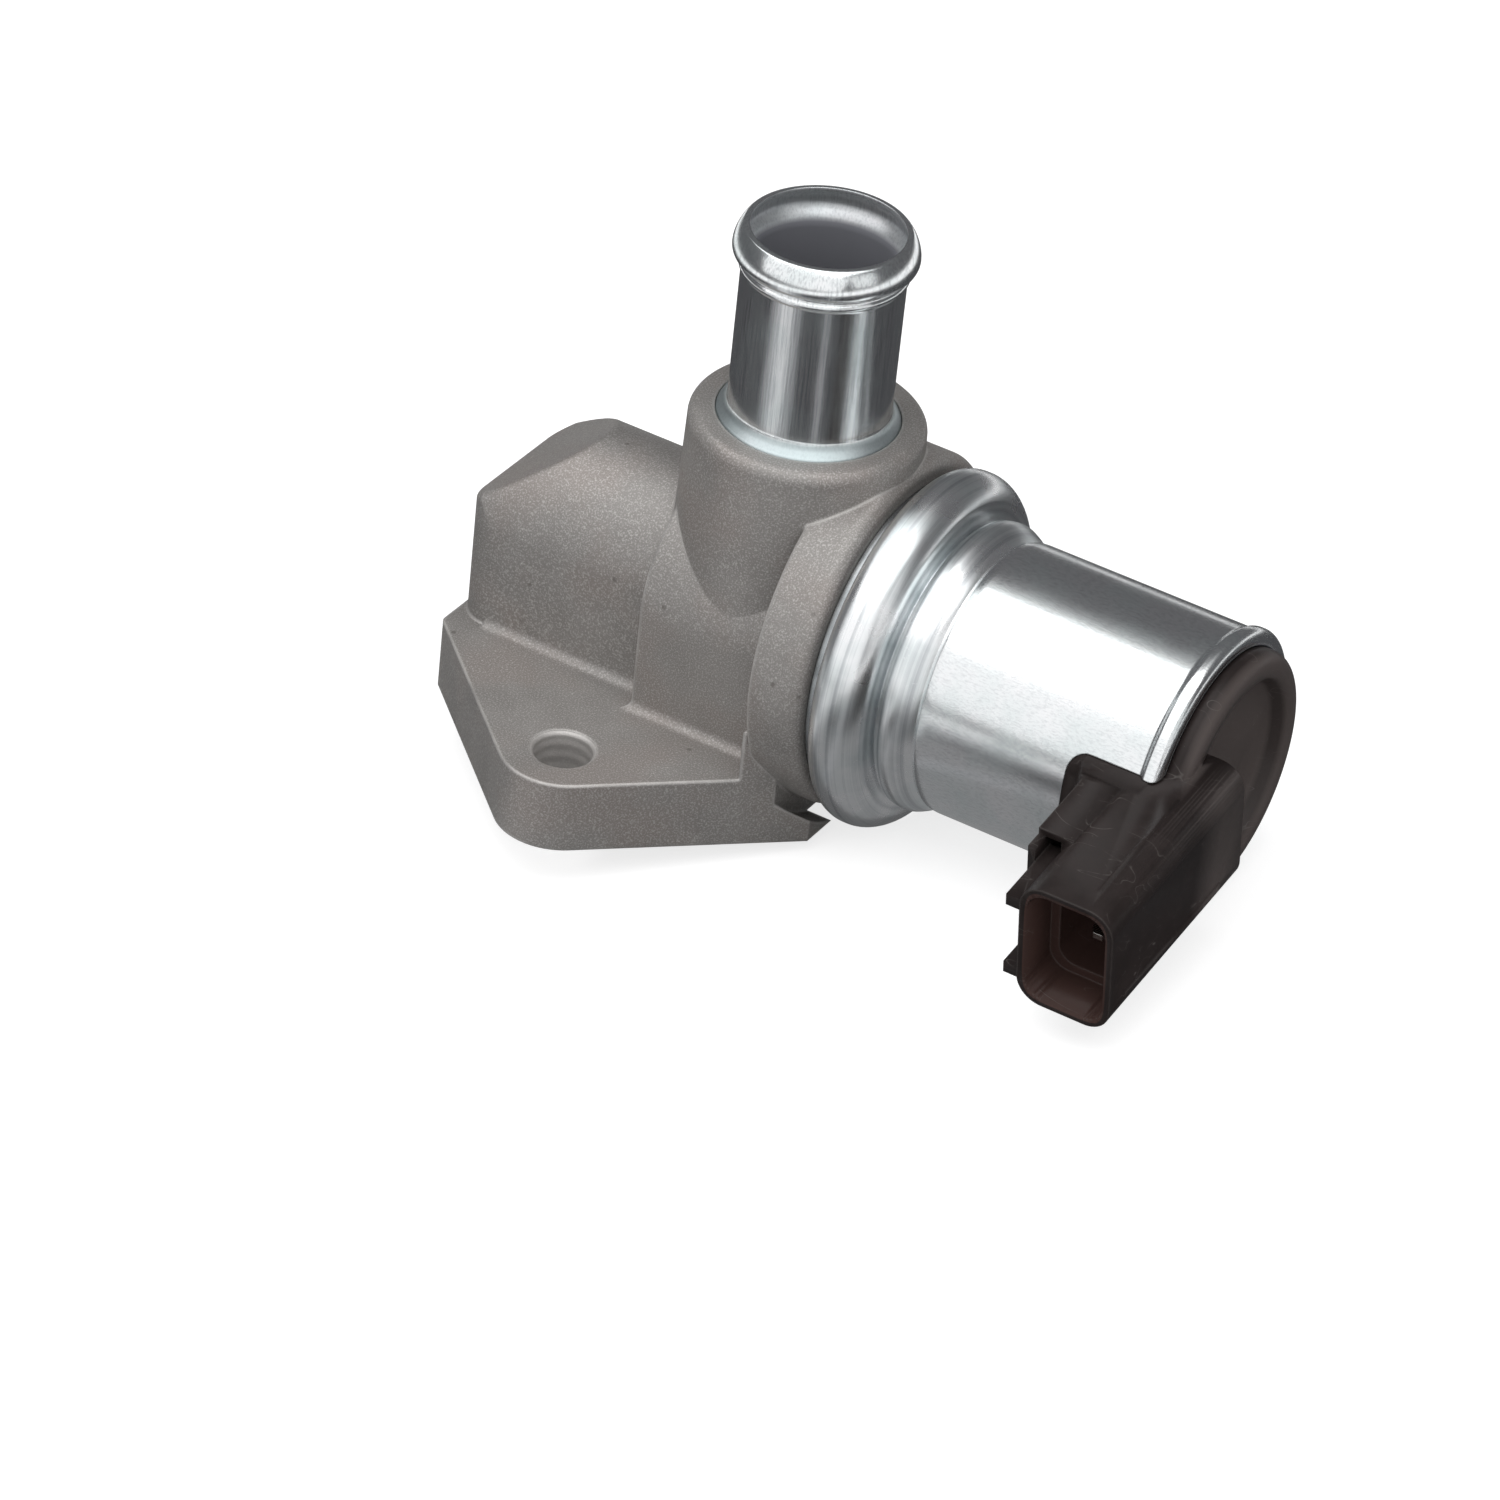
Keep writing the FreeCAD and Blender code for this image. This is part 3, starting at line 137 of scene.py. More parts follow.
def castAluminium(look):
    # Die-cast and shot-blasted aluminium: a dull warm grey with a fine sparkling grain,
    # faint brownish clouds, painted glints, a few small pits, edges painted brighter as a
    # painted highlight with some rubbed wear, and drill marks in the two bolt holes,
    # drawn coarser than a drill's to show, on walls painted lighter as painted light
    material, tree = newMaterial("shotBlastedDieCastAluminium")
    coords = addNode(tree, "TexCoord").outputs["Object"]
    normal, edge = softEdges(tree, look["edgeRadius"])
    grain = addNode(tree, "TexNoise", None, {
        "Vector": coords, "Scale": 1 / look["grain"], "Detail": 2, "Roughness": 0.55})
    mottle = addNode(tree, "TexNoise", None, {
        "Vector": coords, "Scale": 1 / look["mottle"], "Detail": 3, "Roughness": 0.55})
    patch = addNode(tree, "TexNoise", None, {
        "Vector": coords, "Scale": 1 / look["patch"], "Detail": 2, "Roughness": 0.5})
    pits = addNode(tree, "TexVoronoi", None, {
        "Vector": coords, "Scale": 1 / look["pitSpacing"]})
    pit = addNode(tree, "MapRange", None, [pits, 0.06, 0.035])
    # Painted glints: sparse bright specks, in some cloud patches only
    paintedGlintCells = addNode(tree, "TexVoronoi", None, {
        "Vector": coords, "Scale": 1 / look["paintedGlint"]})
    paintedGlint = addNode(tree, "MapRange", None, [paintedGlintCells, 0.16, 0.08, 0.0, 0.55])
    paintedGlintPatch = addNode(tree, "MapRange", None, [mottle, 0.5, 0.6])
    paintedGlint = addNode(tree, "Math", {"operation": "MULTIPLY"}, [paintedGlint, paintedGlintPatch])
    # Painted highlight: the edges are painted brighter, more in some clouds, partly as
    # rubbed wear, with the painted glints laid in
    wearAndHighlightShare = addNode(tree, "MapRange", None, [mottle, 0.25, 0.6, 0.3, 1.0])
    rubbedAndPaintedHighlight = addNode(tree, "Math", {"operation": "MULTIPLY"}, [edge, wearAndHighlightShare])
    rubbedAndPaintedHighlight = addNode(tree, "Math", {"operation": "MAXIMUM"}, [paintedGlint, rubbedAndPaintedHighlight])

    # The bolt holes' walls, by how far they stand from the nearer hole's middle. Their
    # colour is painted lighter there, as painted light in the holes, under the drill
    # marks
    mirrored = addNode(tree, "VectorMath", {"operation": "ABSOLUTE"}, [coords])
    fromBolt = addNode(tree, "VectorMath", {"operation": "SUBTRACT"},
                       [mirrored, (0, look["boltPlace"], 0)])
    fromBolt = addNode(tree, "VectorMath", {"operation": "MULTIPLY"},
                       [fromBolt, (1, 1, 0)])
    fromBolt = addNode(tree, "VectorMath", {"operation": "LENGTH"}, [fromBolt])
    holeWallPaintedLight = addNode(tree, "MapRange", None,
                      [fromBolt.outputs["Value"], *look["boltWall"]])
    turns = addNode(tree, "TexWave", {"bands_direction": "Z"}, {
        "Vector": coords, "Scale": waveRun / look["drillPitch"], "Distortion": 0.8,
        "Detail": 1})
    marks = addNode(tree, "Math", {"operation": "MULTIPLY"},
                    [holeWallPaintedLight, turns.outputs["Fac"]])

    cloud = addNode(tree, "MapRange", None, [mottle, 0.3, 0.7])
    brown = addNode(tree, "MapRange", None, [patch, 0.48, 0.66])
    sparkle = addNode(tree, "MapRange", None, [grain, 0.48, 0.72])
    colour = layColours(tree, look, "dark", [
        (cloud, 1, "face"), (brown, 1, "warm"), (sparkle, 0.5, "edge"),
        (rubbedAndPaintedHighlight, 1, "edge"), (holeWallPaintedLight, 0.6, "edge"), (pit, 0.6, "pit")])
    rough = addNode(tree, "MapRange", None, [mottle, 0.3, 0.7, *look["roughness"]])
    rough = addNode(tree, "Math", {"operation": "MULTIPLY_ADD"},
                    [edge, -look["edgeShine"], rough])
    height = addNode(tree, "Math", {"operation": "MULTIPLY_ADD"},
                     [pit, -look["pitDepth"], grain])
    height = addNode(tree, "Math", {"operation": "MULTIPLY_ADD"},
                     [marks, look["drillDepth"], height])
    bump = addNode(tree, "Bump", None, {
        "Height": height, "Strength": look["bump"], "Distance": look["bumpHeight"],
        "Normal": normal})
    shader = addNode(tree, "BsdfPrincipled", None, {
        "Base Color": colour, "Metallic": look["metallic"], "Roughness": rough,
        "Normal": bump})
    addNode(tree, "OutputMaterial", None, {"Surface": shader})
    return material


zincLook = {
    "bright": "#eeeff0", "cold": "#e0e7e7", "dull": "#b9bdc0", "scratch": "#f2f4f5",
    "inside": "#808187", "frost": "#aab8ba", "insideMetal": 0.2, "insideRough": 0.35,
    "frostRough": 0.25, "rolledRough": 0.07, "drawMark": 0.22 * mm,
    "rollMark": 0.7 * mm, "rolledStreak": 0.9, "speckle": 0.16 * mm, "cloud": 6 * mm,
    "scratchSize": 2.6 * mm, "scratchStretch": (1.0, 0.3, 0.5), "scratchBend": 0.2,
    "scratchWidth": 0.005, "fade": 0.3 * mm, "frostFade": 0.2 * mm,
    "edgeRadius": 0.2 * mm, "bump": 0.22, "bumpHeight": 0.02 * mm,
}
tubeLook = {
    "name": "brightZincOnDrawnTube", "centre": (tubePlace, 0, 0), "along": (0, 0, 1),
    "across": (1, 1, 0), "stretch": (1.0, 1.0, 0.03), "streak": 0.6,
    "roughness": (0.16, 0.23), "dullBelow": 67.3 * mm, "frostBelow": 48.2 * mm,
    "rolledBelow": 0,
}
canLook = {
    "name": "brightZincOnDeepDrawnCan", "centre": (0, 0, axisHeight),
    "along": (1, 0, 0), "across": (0, 1, 1), "stretch": (0.35, 1.0, 1.0),
    "streak": 0.35, "roughness": (0.18, 0.27), "dullBelow": 80 * mm, "frostBelow": 0,
    "rolledBelow": 39.4 * mm,
}


def zincPlate(look, piece):
    # Bright zinc plate over drawn steel: soft mirror with a cold tint, broken up by the
    # draw marks along its stretch, a fine satin speckle and a few hair scratches. Where
    # it looks at its own axis it is the dull grey of a tube's inside, painted darker
    # below dullBelow as painted shade down the bore, and outside it has a thicker, frosty
    # plate up to frostBelow. Up to rolledBelow the marks run round the axis, as the
    # rolling tool went
    material, tree = newMaterial(piece["name"])
    coords = addNode(tree, "TexCoord")
    plain = coords.outputs["Object"]
    bevel = addNode(tree, "Bevel", {"samples": 6}, {"Radius": look["edgeRadius"]})
    centred = addNode(tree, "VectorMath", {"operation": "SUBTRACT"},
                      [plain, piece["centre"]])
    drawn = addNode(tree, "Mapping", None, {
        "Vector": centred, "Scale": piece["stretch"]})
    fromAxis = addNode(tree, "VectorMath", {"operation": "MULTIPLY"},
                       [centred, piece["across"]])
    radius = addNode(tree, "VectorMath", {"operation": "LENGTH"}, [fromAxis])
    place = addNode(tree, "VectorMath", {"operation": "DOT_PRODUCT"},
                    [plain, piece["along"]]).outputs["Value"]
    profile = addNode(tree, "CombineXYZ", None, [place, radius.outputs["Value"]])
    drawMarks = addNode(tree, "TexNoise", None, {
        "Vector": drawn, "Scale": 1 / look["drawMark"], "Detail": 4, "Roughness": 0.6})
    rollMarks = addNode(tree, "TexNoise", None, {
        "Vector": profile, "Scale": 1 / look["rollMark"], "Detail": 4,
        "Roughness": 0.65})
    speckle = addNode(tree, "TexNoise", None, {
        "Vector": plain, "Scale": 1 / look["speckle"], "Detail": 2, "Roughness": 0.6})
    cloud = addNode(tree, "TexNoise", None, {
        "Vector": plain, "Scale": 1 / look["cloud"], "Detail": 3, "Roughness": 0.55})

    rollMarks = addNode(tree, "Math", {"operation": "MULTIPLY"}, [rollMarks, 0.75])
    rollMarks = addNode(tree, "Math", {"operation": "MULTIPLY_ADD"},
                        [cloud, 0.25, rollMarks])
    rolled = addNode(tree, "MapRange", None, [
        place, piece["rolledBelow"] + look["fade"], piece["rolledBelow"] - look["fade"]])
    marks = addNode(tree, "Mix", {"data_type": "FLOAT"},
                    {0: rolled, 2: drawMarks, 3: rollMarks})
    depth = addNode(tree, "MapRange", None,
                    [rolled, 0, 1, piece["streak"], look["rolledStreak"]])
    streak = addNode(tree, "MapRange", None, [marks, 0.46, 0.66])
    streak = addNode(tree, "Math", {"operation": "MULTIPLY"}, [depth, streak])

    patches = addNode(tree, "MapRange", None, [speckle, 0.5, 0.6])
    scratch = hairScratches(tree, plain, look, patches)
    facing = addNode(tree, "VectorMath", {"operation": "DOT_PRODUCT"},
                     [fromAxis, coords.outputs["Normal"]])
    inwards = addNode(tree, "MapRange", None, [facing.outputs["Value"], 0, -2 * mm])
    # Painted shade: the inside colour is at full strength below dullBelow, down the bore,
    # and at about a third above it
    reach = addNode(tree, "MapRange", None, [
        place, piece["dullBelow"] + look["fade"], piece["dullBelow"] - look["fade"],
        0.35, 1])
    inside = addNode(tree, "Math", {"operation": "MULTIPLY"}, [inwards, reach])
    frost = addNode(tree, "MapRange", None, [
        place, piece["frostBelow"] + look["frostFade"],
        piece["frostBelow"] - look["frostFade"]])
    tint = addNode(tree, "MapRange", None, [cloud, 0.35, 0.7])
    colour = layColours(tree, look, "bright", [
        (tint, 1, "cold"), (streak, 1, "dull"), (scratch, 0.6, "scratch"),
        (frost, 0.7, "frost"), (inside, 1, "inside")])
    metal = addNode(tree, "MapRange", None, [inside, 0, 1, 1, look["insideMetal"]])
    rough = addNode(tree, "MapRange", None, [cloud, 0.3, 0.7, *piece["roughness"]])
    for mask, amount in ((inside, "insideRough"), (frost, "frostRough"),
                         (rolled, "rolledRough")):
        rough = addNode(tree, "Math", {"operation": "MULTIPLY_ADD"},
                        [mask, look[amount], rough])
    height = addNode(tree, "Math", {"operation": "MULTIPLY_ADD"}, [speckle, 0.7, marks])
    bump = addNode(tree, "Bump", None, {
        "Height": height, "Strength": look["bump"], "Distance": look["bumpHeight"],
        "Normal": bevel})
    shader = addNode(tree, "BsdfPrincipled", None, {
        "Base Color": colour, "Metallic": metal, "Roughness": rough, "Normal": bump})
    addNode(tree, "OutputMaterial", None, {"Surface": shader})
    return material


plasticLook = {
    "cloud": 4 * mm, "speck": 1.1 * mm, "scratchSize": 2.2 * mm,
    "scratchStretch": (0.2, 0.6, 1.0), "scratchBend": 0.3, "scratchWidth": 0.006,
    "bump": 0.25, "bumpHeight": 0.03 * mm,
}
capLook = {
    "name": "glassFilledBlackNylon", "face": "#2d2726", "dark": "#272221",
    # paintedLitEnd is the lighter colour of the flat end, painted light
    "scuff": "#706c69", "paintedLitEnd": "#524b49", "paintedLitEndFrom": (-17 * mm, -12 * mm),
    "socket": "#43322e", "socketPlace": (70.75 * mm, 0, axisHeight),
    "socketHalf": {"X": 5.3 * mm, "Z": 8.05 * mm}, "socketFrom": -20 * mm,
    "roughness": 0.33, "grain": 0.16 * mm, "edgeRadius": 0.35 * mm,
}
bobbinLook = {
    "name": "glassFilledBobbinPlastic", "face": "#45403c", "dark": "#383330",
    "scuff": "#75706b", "roughness": 0.5, "grain": 0.2 * mm, "edgeRadius": 0.2 * mm,
}
shimLook = {
    "name": "naturalAcetalSheet", "face": "#e6e4da", "dark": "#d5d2c6",
    "scuff": "#f5f4ee", "roughness": 0.45, "grain": 0.2 * mm, "edgeRadius": 0.05 * mm,
}


def socketMasks(tree, look, coords, normals):
    # Painted light: the flat end, facing along the valve, is painted lighter except on
    # the socket's side. The nylon's brown shows in the socket, which is a rounded
    # rectangle in the leaning frame of the plug
    split = addNode(tree, "SeparateXYZ", None, [normals])
    across = addNode(tree, "SeparateXYZ", None, [coords])
    endwards = addNode(tree, "MapRange", None, [split.outputs["X"], 0.25, 0.75])
    kept = addNode(tree, "MapRange", None, [across.outputs["Y"], *look["paintedLitEndFrom"]])
    paintedLitEnd = addNode(tree, "Math", {"operation": "MULTIPLY"}, [endwards, kept])

    moved = addNode(tree, "VectorMath", {"operation": "SUBTRACT"},
                    [coords, look["socketPlace"]])
    level = addNode(tree, "VectorRotate", {"rotation_type": "X_AXIS"}, {
        "Vector": moved, "Angle": math.radians(-plugLean)})
    split = addNode(tree, "SeparateXYZ", None, [level])
    spread = 0
    for axis, half in look["socketHalf"].items():
        reach = addNode(tree, "Math", {"operation": "ABSOLUTE"}, [split.outputs[axis]])
        reach = addNode(tree, "Math", {"operation": "DIVIDE"}, [reach, half])
        reach = addNode(tree, "Math", {"operation": "POWER"}, [reach, 6])
        spread = addNode(tree, "Math", {"operation": "ADD"}, [reach, spread])
    within = addNode(tree, "Math", {"operation": "LESS_THAN"}, [spread, 1])
    deep = addNode(tree, "Math", {"operation": "LESS_THAN"},
                   [split.outputs["Y"], look["socketFrom"]])
    inside = addNode(tree, "Math", {"operation": "MULTIPLY"}, [within, deep])
    return [(paintedLitEnd, 1, "paintedLitEnd"), (inside, 1, "socket")]


def mouldedPlastic(look, piece):
    # Glass-filled nylon from a spark-eroded mould: near black, half matt, with a fine
    # orange-peel grain, pale dust specks, hair scratches and rubbed edges. The bobbin's
    # plastic and the pale acetal sheet have the same surface in their own colours
    material, tree = newMaterial(piece["name"])
    coords = addNode(tree, "TexCoord")
    plain = coords.outputs["Object"]
    normal, edge = softEdges(tree, piece["edgeRadius"])
    grain = addNode(tree, "TexNoise", None, {
        "Vector": plain, "Scale": 1 / piece["grain"], "Detail": 2, "Roughness": 0.5})
    cloud = addNode(tree, "TexNoise", None, {
        "Vector": plain, "Scale": 1 / look["cloud"], "Detail": 3, "Roughness": 0.6})
    specks = addNode(tree, "TexVoronoi", None, {
        "Vector": plain, "Scale": 1 / look["speck"]})
    speck = addNode(tree, "MapRange", None, [specks, 0.07, 0.03, 0.0, 0.5])
    speckPatch = addNode(tree, "MapRange", None, [cloud, 0.5, 0.62])
    speck = addNode(tree, "Math", {"operation": "MULTIPLY"}, [speck, speckPatch])
    patches = addNode(tree, "MapRange", None, [cloud, 0.48, 0.58, 0.0, 0.35])
    scratch = hairScratches(tree, plain, look, patches)
    marks = addNode(tree, "Math", {"operation": "MULTIPLY"}, [edge, 0.25])
    for mask in (scratch, speck):
        marks = addNode(tree, "Math", {"operation": "MAXIMUM"}, [marks, mask])
    shade = addNode(tree, "MapRange", None, [cloud, 0.35, 0.65])
    layers = [(shade, 1, "face")]
    if "socket" in piece:
        layers += socketMasks(tree, piece, plain, coords.outputs["Normal"])
    colour = layColours(tree, piece, "dark", layers + [(marks, 1, "scuff")])
    rough = addNode(tree, "MapRange", None, [
        cloud, 0.3, 0.7, piece["roughness"] - 0.05, piece["roughness"] + 0.07])
    bump = addNode(tree, "Bump", None, {
        "Height": grain, "Strength": look["bump"], "Distance": look["bumpHeight"],
        "Normal": normal})
    shader = addNode(tree, "BsdfPrincipled", None, {
        "Base Color": colour, "Roughness": rough, "IOR": 1.53,
        "Specular IOR Level": 0.12, "Normal": bump})
    addNode(tree, "OutputMaterial", None, {"Surface": shader})
    return material


turnedLook = {
    "edge": "#f2f0ea", "edgeRadius": 0.15 * mm, "cloud": 2.5 * mm, "bump": 0.15,
    "bumpHeight": 0.01 * mm,
}
turnedPieces = {
    "seat_brass": {"name": "turnedBrass", "face": "#d8b878", "dark": "#bd9a58",
                   "roughness": 0.24, "pitch": 0.353 * mm},
    "bush_bronze": {"name": "sinteredBronze", "face": "#a97f52", "dark": "#7d5a36",
                    "roughness": 0.42, "pitch": 0.589 * mm},
    "stem_steel": {"name": "groundStainlessSteel", "face": "#c9cacc",
                   "dark": "#adafb2", "roughness": 0.2, "pitch": 0.196 * mm},
    "poppet_metal": {"name": "turnedAluminium", "face": "#cfcfce", "dark": "#b4b4b3",
                     "roughness": 0.28, "pitch": 0.353 * mm},
    "spring_steel": {"name": "drawnSpringWire", "face": "#b9babd", "dark": "#8e9094",
                     "roughness": 0.26, "pitch": 0.294 * mm},
    "plate_steel": {"name": "zincPlatedSoftIron", "face": "#b4b7b9",
                    "dark": "#93989a", "roughness": 0.3, "pitch": 0.432 * mm},
    "tube_brass": {"name": "thinDrawnBrass", "face": "#d6b576", "dark": "#b99656",
                   "roughness": 0.27, "pitch": 0.353 * mm},
    "blade_tin": {"name": "tinPlatedBrassBlade", "face": "#dcdcd8",
                  "dark": "#c0c0bc", "roughness": 0.25, "pitch": 0.236 * mm},
}


def turnedMetal(look, piece):
    # Lathe-turned bar: rings round the valve axis in a plain metal, with brighter edges.
    # The rings are drawn coarser than the tool's feed so that they show
    material, tree = newMaterial(piece["name"])
    plain = addNode(tree, "TexCoord").outputs["Object"]
    coords = addNode(tree, "VectorMath", {"operation": "SUBTRACT"},
                     [plain, (0, 0, axisHeight)])
    normal, edge = softEdges(tree, look["edgeRadius"])
    rings = addNode(tree, "TexWave", {"wave_type": "RINGS", "rings_direction": "X"}, {
        "Vector": coords, "Scale": waveRun / piece["pitch"], "Distortion": 0.6,
        "Detail": 2, "Detail Scale": 1.5}).outputs["Fac"]
    cloud = addNode(tree, "TexNoise", None, {
        "Vector": coords, "Scale": 1 / look["cloud"], "Detail": 3, "Roughness": 0.6})
    shade = addNode(tree, "MapRange", None, [cloud, 0.3, 0.7])
    colour = layColours(tree, {**look, **piece}, "dark", [
        (shade, 1, "face"), (edge, 0.35, "edge")])
    rough = addNode(tree, "MapRange", None, [
        rings, 0, 1, piece["roughness"] - 0.05, piece["roughness"] + 0.07])
    bump = addNode(tree, "Bump", None, {
        "Height": rings, "Strength": look["bump"], "Distance": look["bumpHeight"],
        "Normal": normal})
    shader = addNode(tree, "BsdfPrincipled", None, {
        "Base Color": colour, "Metallic": 1, "Roughness": rough, "Normal": bump})
    addNode(tree, "OutputMaterial", None, {"Surface": shader})
    return material


rubberLook = {
    "dark": "#191716", "bloom": "#33302e", "bloomSize": 1.4 * mm, "grain": 0.2 * mm,
    "roughness": (0.55, 0.72), "bump": 0.2, "bumpHeight": 0.02 * mm,
}


def mouldedRubber(look):
    # Fluoro rubber: matt near-black, with faint flow clouds and a powdery bloom
    material, tree = newMaterial("mouldedFluoroRubber")
    coords = addNode(tree, "TexCoord").outputs["Object"]
    bloom = addNode(tree, "TexNoise", None, {
        "Vector": coords, "Scale": 1 / look["bloomSize"], "Detail": 4,
        "Roughness": 0.65})
    grain = addNode(tree, "TexNoise", None, {
        "Vector": coords, "Scale": 1 / look["grain"], "Detail": 2, "Roughness": 0.5})
    powder = addNode(tree, "MapRange", None, [bloom, 0.4, 0.8])
    colour = layColours(tree, look, "dark", [(powder, 1, "bloom")])
    rough = addNode(tree, "MapRange", None, [bloom, 0.3, 0.7, *look["roughness"]])
    bump = addNode(tree, "Bump", None, {
        "Height": grain, "Strength": look["bump"], "Distance": look["bumpHeight"]})
    shader = addNode(tree, "BsdfPrincipled", None, {
        "Base Color": colour, "Roughness": rough, "IOR": 1.4, "Normal": bump})
    addNode(tree, "OutputMaterial", None, {"Surface": shader})
    return material


copperLook = {
    "gap": "#5c2612", "wire": "#b5673a", "tarnish": "#8a4526", "wirePitch": 0.84 * mm,
    "cloud": 3 * mm, "roughness": (0.24, 0.36), "bump": 0.6, "bumpHeight": 0.1 * mm,
}


def copperWinding(look):
    # Enamelled copper wire in close layers, with a warm gloss: each turn is a ridge,
    # drawn twice as wide as the wire so that it shows
    material, tree = newMaterial("enamelledCopperWire")
    coords = addNode(tree, "TexCoord").outputs["Object"]
    turns = addNode(tree, "TexWave", {"bands_direction": "X"}, {
        "Vector": coords, "Scale": waveRun / look["wirePitch"], "Distortion": 0.3,
        "Detail": 1}).outputs["Fac"]
    cloud = addNode(tree, "TexNoise", None, {
        "Vector": coords, "Scale": 1 / look["cloud"], "Detail": 2, "Roughness": 0.5})
    tarnish = addNode(tree, "MapRange", None, [cloud, 0.4, 0.9])
    colour = layColours(tree, look, "gap", [
        (turns, 1, "wire"), (tarnish, 0.5, "tarnish")])
    rough = addNode(tree, "MapRange", None, [cloud, 0.3, 0.7, *look["roughness"]])
    bump = addNode(tree, "Bump", None, {
        "Height": turns, "Strength": look["bump"], "Distance": look["bumpHeight"]})
    shader = addNode(tree, "BsdfPrincipled", None, {
        "Base Color": colour, "Metallic": 0.85, "Roughness": rough, "Normal": bump,
        "Coat Weight": 0.6, "Coat Roughness": 0.15})
    addNode(tree, "OutputMaterial", None, {"Surface": shader})
    return material


looks = {
    "cast_aluminium": castAluminium(castLook),
    "zinc_steel_tube": zincPlate(zincLook, tubeLook),
    "zinc_steel_can": zincPlate(zincLook, canLook),
    "cap_plastic": mouldedPlastic(plasticLook, capLook),
    "bobbin_plastic": mouldedPlastic(plasticLook, bobbinLook),
    "shim_plastic": mouldedPlastic(plasticLook, shimLook),
    "seal_rubber": mouldedRubber(rubberLook),
    "winding_copper": copperWinding(copperLook),
}
for slot, piece in turnedPieces.items():
    looks[slot] = turnedMetal(turnedLook, piece)

slotOf = {row["node"]: row["material_slot"] for row in frame["record"]["subparts"]}


def dressPiece(piece, material):
    piece.data.materials.clear()
    piece.data.materials.append(material)


for name, piece in nodes.items():
    dressPiece(piece, looks[slotOf[name]])
print("dressed the solids in", len(looks), "materials")


def startPoint(name, place):
    # A mesh of one point, left in edit mode
    bpy.ops.object.select_all(action="DESELECT")
    bpy.ops.mesh.primitive_plane_add(size=mm)
    piece = bpy.context.object
    piece.name = name
    bpy.ops.object.mode_set(mode="EDIT")
    bpy.ops.mesh.select_mode(type="VERT")
    bpy.ops.mesh.select_all(action="SELECT")
    bpy.ops.mesh.merge(type="CENTER")
    bpy.ops.transform.translate(value=place)
    return piece


def pickPoints(piece, places):
    bpy.ops.mesh.select_all(action="DESELECT")
    bpy.ops.object.mode_set(mode="OBJECT")
    for point in piece.data.vertices:
        point.select = any((point.co - place).length < pickReach for place in places)
    bpy.ops.object.mode_set(mode="EDIT")


def drawOutline(name, corners, segments):
    # A closed wire through the corners, (place, reach of the rounding), left in edit mode
    piece = startPoint(name, corners[0][0])
    for (start, _), (end, _) in zip(corners, corners[1:]):
        bpy.ops.mesh.extrude_region_move(TRANSFORM_OT_translate={"value": end - start})
    pickPoints(piece, [corners[0][0], corners[-1][0]])
    bpy.ops.mesh.edge_face_add()
    for place, reach in corners:
        if reach > 0:
            pickPoints(piece, [place])
            bpy.ops.mesh.bevel(offset=reach * mm, segments=segments, affect="VERTICES")
    bpy.ops.mesh.select_all(action="SELECT")
    return piece


def turnedPiece(name, shape, centre, axis, out):
    # Corners are (along the axis, from the axis, reach of the rounding) in mm
    corners = [(centre + axis * along * mm + out * radius * mm, reach)
               for along, radius, reach in shape["corners"]]
    piece = drawOutline(name, corners, shape["segments"])
    bpy.ops.mesh.spin(steps=shape["steps"], angle=math.tau, center=centre, axis=axis)
    bpy.ops.mesh.select_all(action="SELECT")
    bpy.ops.mesh.remove_doubles(threshold=mergeReach)
    bpy.ops.mesh.normals_make_consistent(inside=False)
    bpy.ops.object.mode_set(mode="OBJECT")
    return piece


def cutAway(piece, corners, near, far):
    # Cuts a prism out of the plug's side. Corners are (along the valve, up the plug,
    # reach of the rounding), near and far its ends from the valve's axis, all in mm
    middle = Vector((0, 0, axisHeight))
    places = [(Vector((along * mm, -near * mm, axisHeight + up * mm)), reach)
              for along, up, reach in corners]
    cutter = drawOutline("cutter", places, 10)
    bpy.ops.mesh.edge_face_add()
    bpy.ops.mesh.extrude_region_move(
        TRANSFORM_OT_translate={"value": (0, (near - far) * mm, 0)})
    bpy.ops.mesh.select_all(action="SELECT")
    bpy.ops.mesh.normals_make_consistent(inside=False)
    bpy.ops.transform.rotate(value=math.radians(-plugLean), orient_axis="X",
                             center_override=middle)
    bpy.ops.object.mode_set(mode="OBJECT")
    cut = piece.modifiers.new("cut", "BOOLEAN")
    cut.object = cutter
    cut.operation = "DIFFERENCE"
    bpy.ops.object.select_all(action="DESELECT")
    bpy.context.view_layer.objects.active = piece
    piece.select_set(True)
    bpy.ops.object.modifier_apply(modifier="cut")
    bpy.data.objects.remove(cutter, do_unlink=True)


nippleShape = {
    "steps": 144, "segments": 8, "smooth": 35,
    "corners": [
        (35.85, 8.525, 0), (35.85, 9.525, 0), (43.85, 9.525, 0), (43.85, 10.76, 0.15),
        (46.75, 10.76, 0.35), (47.0, 10.45, 0.3), (48.0, 9.525, 0.7), (65.9, 9.525, 0.3),
        (66.15, 9.86, 0.2), (66.6, 9.86, 0.2), (66.85, 9.6, 0.2), (67.3, 9.6, 0.2),
        (67.6, 10.75, 0.8), (70.0, 10.75, 1.6), (71.3, 9.55, 1.0), (71.3, 8.95, 0.25),
        (70.9, 8.95, 0.2), (69.9, 9.75, 0.7), (68.7, 9.75, 0.6), (67.2, 8.525, 0.9)],
}


def hoseNipple():
    # Drawn tube with a rolled bead, hollow behind, a fine line under it, and the
    # conical collar that stops it in the boss
    piece = turnedPiece("rolledHoseNipple", nippleShape, Vector((tubePlace, 0, 0)),
                        Vector((0, 0, 1)), Vector((1, 0, 0)))
    bpy.ops.object.shade_smooth_by_angle(angle=math.radians(nippleShape["smooth"]))
    return piece


